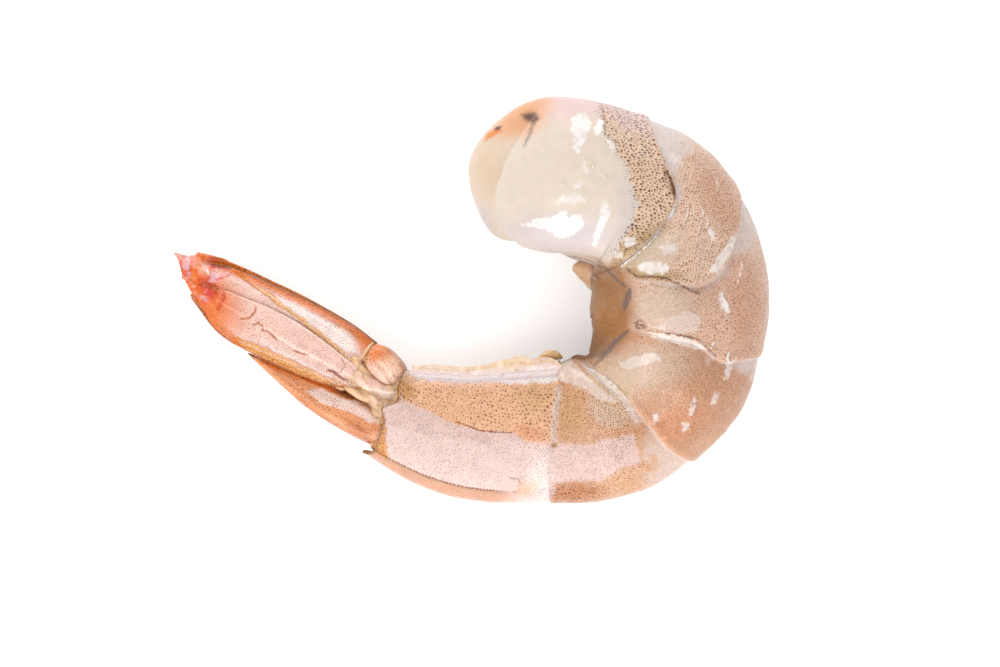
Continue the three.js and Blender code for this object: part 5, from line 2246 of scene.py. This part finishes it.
@dataclass
class Studio:
    """The pale table, the soft lights and the camera straight above."""

    table_side: float = 3.0
    table_gap: float = 0.00002  # how far the table lies below the prawn
    lens: float = 100.0
    sensor: float = 36.0
    panels: tuple[Panel, ...] = (
        Panel("key softbox", (-0.05, -0.50, 0.50), (-0.05, -0.56, 0.02), 0.9, 2.7),
        Panel("high softbox", (-0.20, -0.10, 0.56), (-0.20, -0.50, 0.51), 0.44, 2.7),
        Panel("back softbox", (-0.05, 0.42, 0.30), (-0.05, 0.60, 0.03), 0.7, 3.0),
    )
    sky: float = 0.8
    glow: float = 0.3  # so that the table stays white in the prawn's faint shadow

    def build(self) -> None:
        """Adds the table, the lights, the world and the camera."""
        add_plane = bpy.ops.mesh.primitive_plane_add
        table = added("table", add_plane, size=self.table_side, location=(0, 0, -self.table_gap))
        material, hand, shader, _ = new_material("pale table")
        path = hand.add("ShaderNodeLightPath")
        glow = hand.times(path.outputs["Is Camera Ray"], self.glow)
        set_shader(hand, shader, Base_Color=(0.92, 0.92, 0.92, 1), Roughness=0.6, Specular_IOR_Level=0.1)
        set_shader(hand, shader, Emission_Color=(1, 1, 1, 1), Emission_Strength=glow)
        table.data.materials.append(material)
        for panel in self.panels:
            panel.add()
        self.add_world()
        self.add_camera()
        bpy.context.scene.view_settings.view_transform = "Standard"

    def add_world(self) -> None:
        """Makes the surroundings white to the eye and dim to the prawn."""
        world = bpy.data.worlds.new("studio")
        bpy.context.scene.world = world
        world.use_nodes = True
        world.node_tree.nodes.clear()
        hand = Nodes(world.node_tree)
        path = hand.add("ShaderNodeLightPath")
        wires = {"Value": path.outputs["Is Camera Ray"], "To Min": self.sky}
        strength = hand.add("ShaderNodeMapRange", wires)
        glow = hand.add("ShaderNodeBackground", {"Color": (1, 1, 1, 1), "Strength": strength.outputs[0]})
        hand.add("ShaderNodeOutputWorld", {"Surface": glow.outputs[0]})

    def add_camera(self) -> None:
        """Hangs the camera straight above, looking down."""
        eye = tuple(value * MM for value in EYE)
        camera = added("Camera", bpy.ops.object.camera_add, location=eye, rotation=(0, 0, 0))
        camera.data.lens = self.lens
        camera.data.sensor_width = self.sensor
        camera.data.clip_start = 0.01
        camera.data.clip_end = 20
        bpy.context.scene.camera = camera


# ---- The prawn -----------------------------------------------------------------------------------


def fan_blades(fan: FanFrame) -> tuple[Blade, Blade]:
    """The outer and the inner blade, with their marks on a chart of a and b."""
    tip = (
        Wash(Tone.FAN_PEACH, (27.4, -1.8), (4.6, 2.8), 0, 0.95, 0.7),
        Wash(Tone.FAN_ORANGE, (26.0, -2.8), (3.2, 1.5), 20, 0.55, 0.8),
        Wash(Tone.FAN_RED, (27.6, -1.1), (1.7, 1.1), 10, 0.85, 0.6),
        Wash(Tone.FAN_MAUVE, (26.9, -1.5), (0.6, 0.4), 30, 0.7, 0.5),
        Wash(Tone.FAN_PURPLE, (26.4, -1.0), (0.3, 0.15), 50, 0.8, 0.5),
        Wash(Tone.FAN_PURPLE, (27.5, -0.7), (0.25, 0.12), 0, 0.7, 0.5),
        Wash(Tone.FAN_PINK, (27.0, -2.4), (0.5, 0.4), 0, 0.6, 0.5),
        Stroke(Tone.FAN_EMBER, ((25.4, -0.3), (25.1, -0.9), (25.0, -1.6), (24.9, -2.4)), 0.22, 0.85, 0.25),
        Patch(
            Tone.FAN_RED, ((33.4, -0.1), (31.8, 1.3), (30.5, 2.4), (29.6, 2.1), (30.4, 0.5), (30.2, -1.0),
            (31.0, -2.1)), 0.6, 0.3,
        ),
        Patch(
            Tone.FAN_EMBER, ((30.3, 2.4), (28.0, 3.1), (25.8, 3.6), (23.6, 4.0), (23.8, 3.2), (26.4, 2.5),
            (27.2, 1.9), (28.6, 1.3), (29.4, 1.6)), 0.9, 0.3,
        ),
        Patch(
            Tone.FAN_PURPLE, ((29.6, 2.2), (27.9, 2.8), (26.4, 3.1), (26.2, 2.6), (27.2, 2.2),
            (28.4, 1.9)), 0.5, 0.2,
        ),
        Patch(
            Tone.FAN_PINK, ((28.2, -0.4), (28.3, 0.8), (27.7, 1.0), (27.1, 1.7), (26.4, 2.4), (25.8, 2.7),
            (26.3, 1.5), (26.7, 0.9), (27.1, 0.1), (27.8, -0.5)), 0.9, 0.12,
        ),
        Stroke(Tone.FAN_EMBER, ((27.3, 0.3), (26.8, 1.0), (26.2, 1.9)), 0.12, 0.8, 0.1),
        Patch(
            Tone.FAN_ORANGE, ((30.4, 0.0), (30.8, 0.7), (30.6, 1.5), (29.9, 2.0), (29.3, 1.9), (29.4, 1.4),
            (30.0, 1.1), (29.8, 0.5)), 1.0, 0.15,
        ),
        Patch(Tone.FAN_RED, ((29.4, 1.5), (29.0, 1.0), (28.4, 0.9), (28.3, 1.5), (28.9, 1.9)), 0.8, 0.2),
        Patch(Tone.GLINT, ((29.1, 0.75), (28.8, 0.8), (28.4, 0.5), (28.5, 0.3)), 0.9, 0.06),
        Patch(
            Tone.FAN_ORANGE, ((30.7, -0.1), (30.0, 0.1), (29.3, -0.7), (28.4, -1.7), (28.6, -2.1),
            (29.4, -1.6), (30.2, -0.8)), 1.0, 0.12,
        ),
        Patch(
            Tone.FAN_PINK, ((31.9, -0.6), (32.2, 0.4), (31.8, 1.0), (31.3, 0.7), (30.9, 0.0), (30.7, -0.7),
            (30.9, -1.1), (31.4, -1.1)), 0.95, 0.1,
        ),
        Patch(Tone.FAN_PINK, ((31.0, -1.3), (30.4, -0.9), (29.9, -1.5), (30.4, -1.7)), 0.7, 0.1),
        Stroke(Tone.FAN_RED, ((31.4, 0.8), (30.9, 0.0), (30.7, -0.7), (30.9, -1.2)), 0.05, 0.7),
        Stroke(
            Tone.FAN_RED, ((32.9, -0.3), (32.2, -0.9), (31.4, -1.4), (30.4, -1.9), (29.0, -2.6)), 0.05, 0.6,
        ),
    )
    outer = Blade(
        fan, "outer_blade", "outer_blade", root=6.3, near=30.8, far=33.2, lift=2.3, fall=1.7,
        outer=(5.8, 5.9, 5.5, 4.95, 4.2, 3.45, 2.7, 1.4),
        inner=(2.3, 1.9, 1.7, 1.2, 0.4, -0.7, -1.9, -2.0),
        washes=(
            # the highlight strip between the rib and the outer margin, painted pale: a painted highlight
            Patch(
                Tone.FAN_PALE, ((8.2, 4.9), (13.5, 4.7), (17.6, 4.2), (22.0, 3.4), (25.8, 2.8),
                (16.6, 3.0), (9.0, 2.9), (7.0, 3.6)), 0.95, 0.15,
            ),
            Wash(Tone.FAN_ORANGE, (7.0, 5.0), (2.2, 1.0), 10, 0.7, 0.6),
            *tip,
            Stroke(
                Tone.FAN_RIB, ((6.2, 2.1), (9.7, 2.5), (12.5, 2.7), (20.0, 2.75), (23.2, 2.75),
                (26.5, 2.6)), 0.22, 1.0,
            ),
            Stroke(
                Tone.FAN_PALE, ((6.2, 2.15), (9.7, 2.55), (12.5, 2.75), (23.2, 2.8), (26.0, 2.6)), 0.04,
                0.8, 0.05,
            ),
            Stroke(Tone.FAN_DARK, ((8.0, 2.05), (12.5, 2.45), (20.0, 2.5), (25.0, 2.45)), 0.03, 0.8, 0.06),
        ),
        ribs=(Trail(((6.0, 2.2), (15.5, 2.7), (21.7, 2.8), (27.0, 2.7)), 0.05),),
        band=0.95, edge=0.8,
    )
    inner = Blade(
        fan, "inner_blade", "inner_blade", root=4.4, near=30.0, far=30.8, lift=2.64, fall=0.1,
        outer=(2.3, 2.2, 2.3, 2.2, 1.7, 0.8, -0.1, -1.4),
        inner=(0.3, -1.7, -2.9, -3.7, -4.5, -4.8, -4.0, -3.0),
        washes=(
            Stroke(Tone.FAN_PALE, ((17.9, -2.3), (15.8, -2.1), (13.2, -1.7), (8.5, -0.9)), 0.2, 0.8, 0.3),
            Wash(Tone.FAN_TAN, (23.4, -2.2), (3.0, 1.6), 10, 0.35, 0.7),
            Patch(
                Tone.FAN_FRINGE, ((21.0, -4.0), (17.3, -2.9), (12.9, -2.1), (5.5, -0.5), (5.5, -1.4),
                (10.4, -3.0), (15.9, -4.2), (21.0, -5.2)), 0.9, 0.15,
            ),
            Stroke(Tone.FAN_PALE, ((20.5, -4.2), (16.0, -3.0), (11.0, -2.0), (6.5, -0.9)), 0.05, 0.8, 0.06),
            Stroke(Tone.FAN_BROWN, ((20.5, -4.55), (15.6, -3.4), (10.4, -2.35)), 0.05, 0.8, 0.08),
            Stroke(
                Tone.FAN_BROWN, ((20.6, -3.9), (17.3, -2.8), (12.9, -1.95), (7.5, -0.8)), 0.05, 0.7, 0.1,
            ),
            Patch(
                Tone.FAN_ORANGE, ((29.6, -3.2), (27.3, -3.4), (25.8, -4.3), (23.5, -5.0), (19.5, -5.0),
                (20.3, -3.9), (23.0, -3.7), (26.8, -2.7)), 0.75, 0.3,
            ),
            Stroke(
                Tone.FAN_BROWN, ((21.2, 0.8), (20.8, 0.0), (20.9, -1.0), (21.8, -1.7)), 0.13, 0.9, 0.08,
                0.1,
            ),
            Stroke(
                Tone.FAN_BROWN, ((20.0, -1.4), (19.7, -0.9), (19.0, -0.9), (18.6, -1.3)), 0.12, 0.9, 0.08,
            ),
            Stroke(Tone.FAN_BROWN, ((18.6, -1.2), (17.7, -1.0), (16.4, -1.1)), 0.16, 0.9, 0.08, 0.1),
            Stroke(Tone.FAN_BROWN, ((14.3, -0.9), (13.1, -0.6), (12.0, -0.3)), 0.13, 0.9, 0.08, 0.1),
            Stroke(Tone.FAN_DARK, ((9.2, -0.4), (8.4, -0.1), (7.3, -0.1), (6.1, 0.0)), 0.17, 0.8, 0.1, 0.1),
            Stroke(Tone.FAN_DARK, ((8.6, 1.8), (7.7, 1.4), (7.6, 0.3)), 0.06, 0.7, 0.08),
            Wash(Tone.TISSUE, (5.4, 1.0), (1.0, 1.6), 0, 0.8, 0.5),
            *tip,
        ),
        ribs=(Trail(((5.0, 1.2), (14.0, -0.2), (26.0, -1.4)), 0.05),),
        band=0.0, edge=0.55,
    )
    return outer, inner


class Prawn:
    """The whole prawn, piece by piece."""

    def __init__(self) -> None:
        """Takes the spine, the fan's frame and the finishes."""
        self.spine = Spine()
        self.fan = FanFrame()
        groups = Groups()
        self.flesh_finish = RawFlesh(groups).make()
        self.shell_finish = Shell(groups, "sixth shell").make()
        self.tissue_finish = SoftTissue(groups).make()
        self.fan_finish = Shell(
            groups, "fan shell", spacing=0.4, fine_spacing=0.27, speck=0.055, coat=0.55,
            dot=Tone.DOT_BLACK, fine_dot=Tone.DOT_FAN,
        ).make()

    def build(self) -> None:
        """Builds every piece in order."""
        Flesh(self.spine).make(self.fan.along, self.flesh_finish)
        Jacket(self.spine).make(self.shell_finish)
        Telson(self.fan).make(self.fan_finish)
        outer, inner = fan_blades(self.fan)
        for side, sign in (("near", 1), ("far", -1)):
            BladeBase(self.fan).make(side, sign, self.fan_finish)
            outer.make(side, sign, self.fan_finish)
            inner.make(side, sign, self.fan_finish)
        JointTissue(self.fan).make(self.tissue_finish)
        HingeKnob(self.fan).make(self.tissue_finish)
        BellyStrip(self.spine).make(self.tissue_finish)
        BellyBead().make(self.tissue_finish)
        corner = BellyBead("torn_corner", Tone.TISSUE, (15.3, 3.4, 5.6), (2.6, 1.6, 1.8), lean=-46.0)
        corner.make(self.tissue_finish)
        Bristles(self.fan, (outer, inner)).make(BristleFinish().make())


def main() -> None:
    """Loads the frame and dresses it."""
    logging.basicConfig(level=logging.INFO, format="%(name)s: %(message)s")
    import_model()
    Prawn().build()
    Studio().build()


if __name__ == "__main__":
    main()
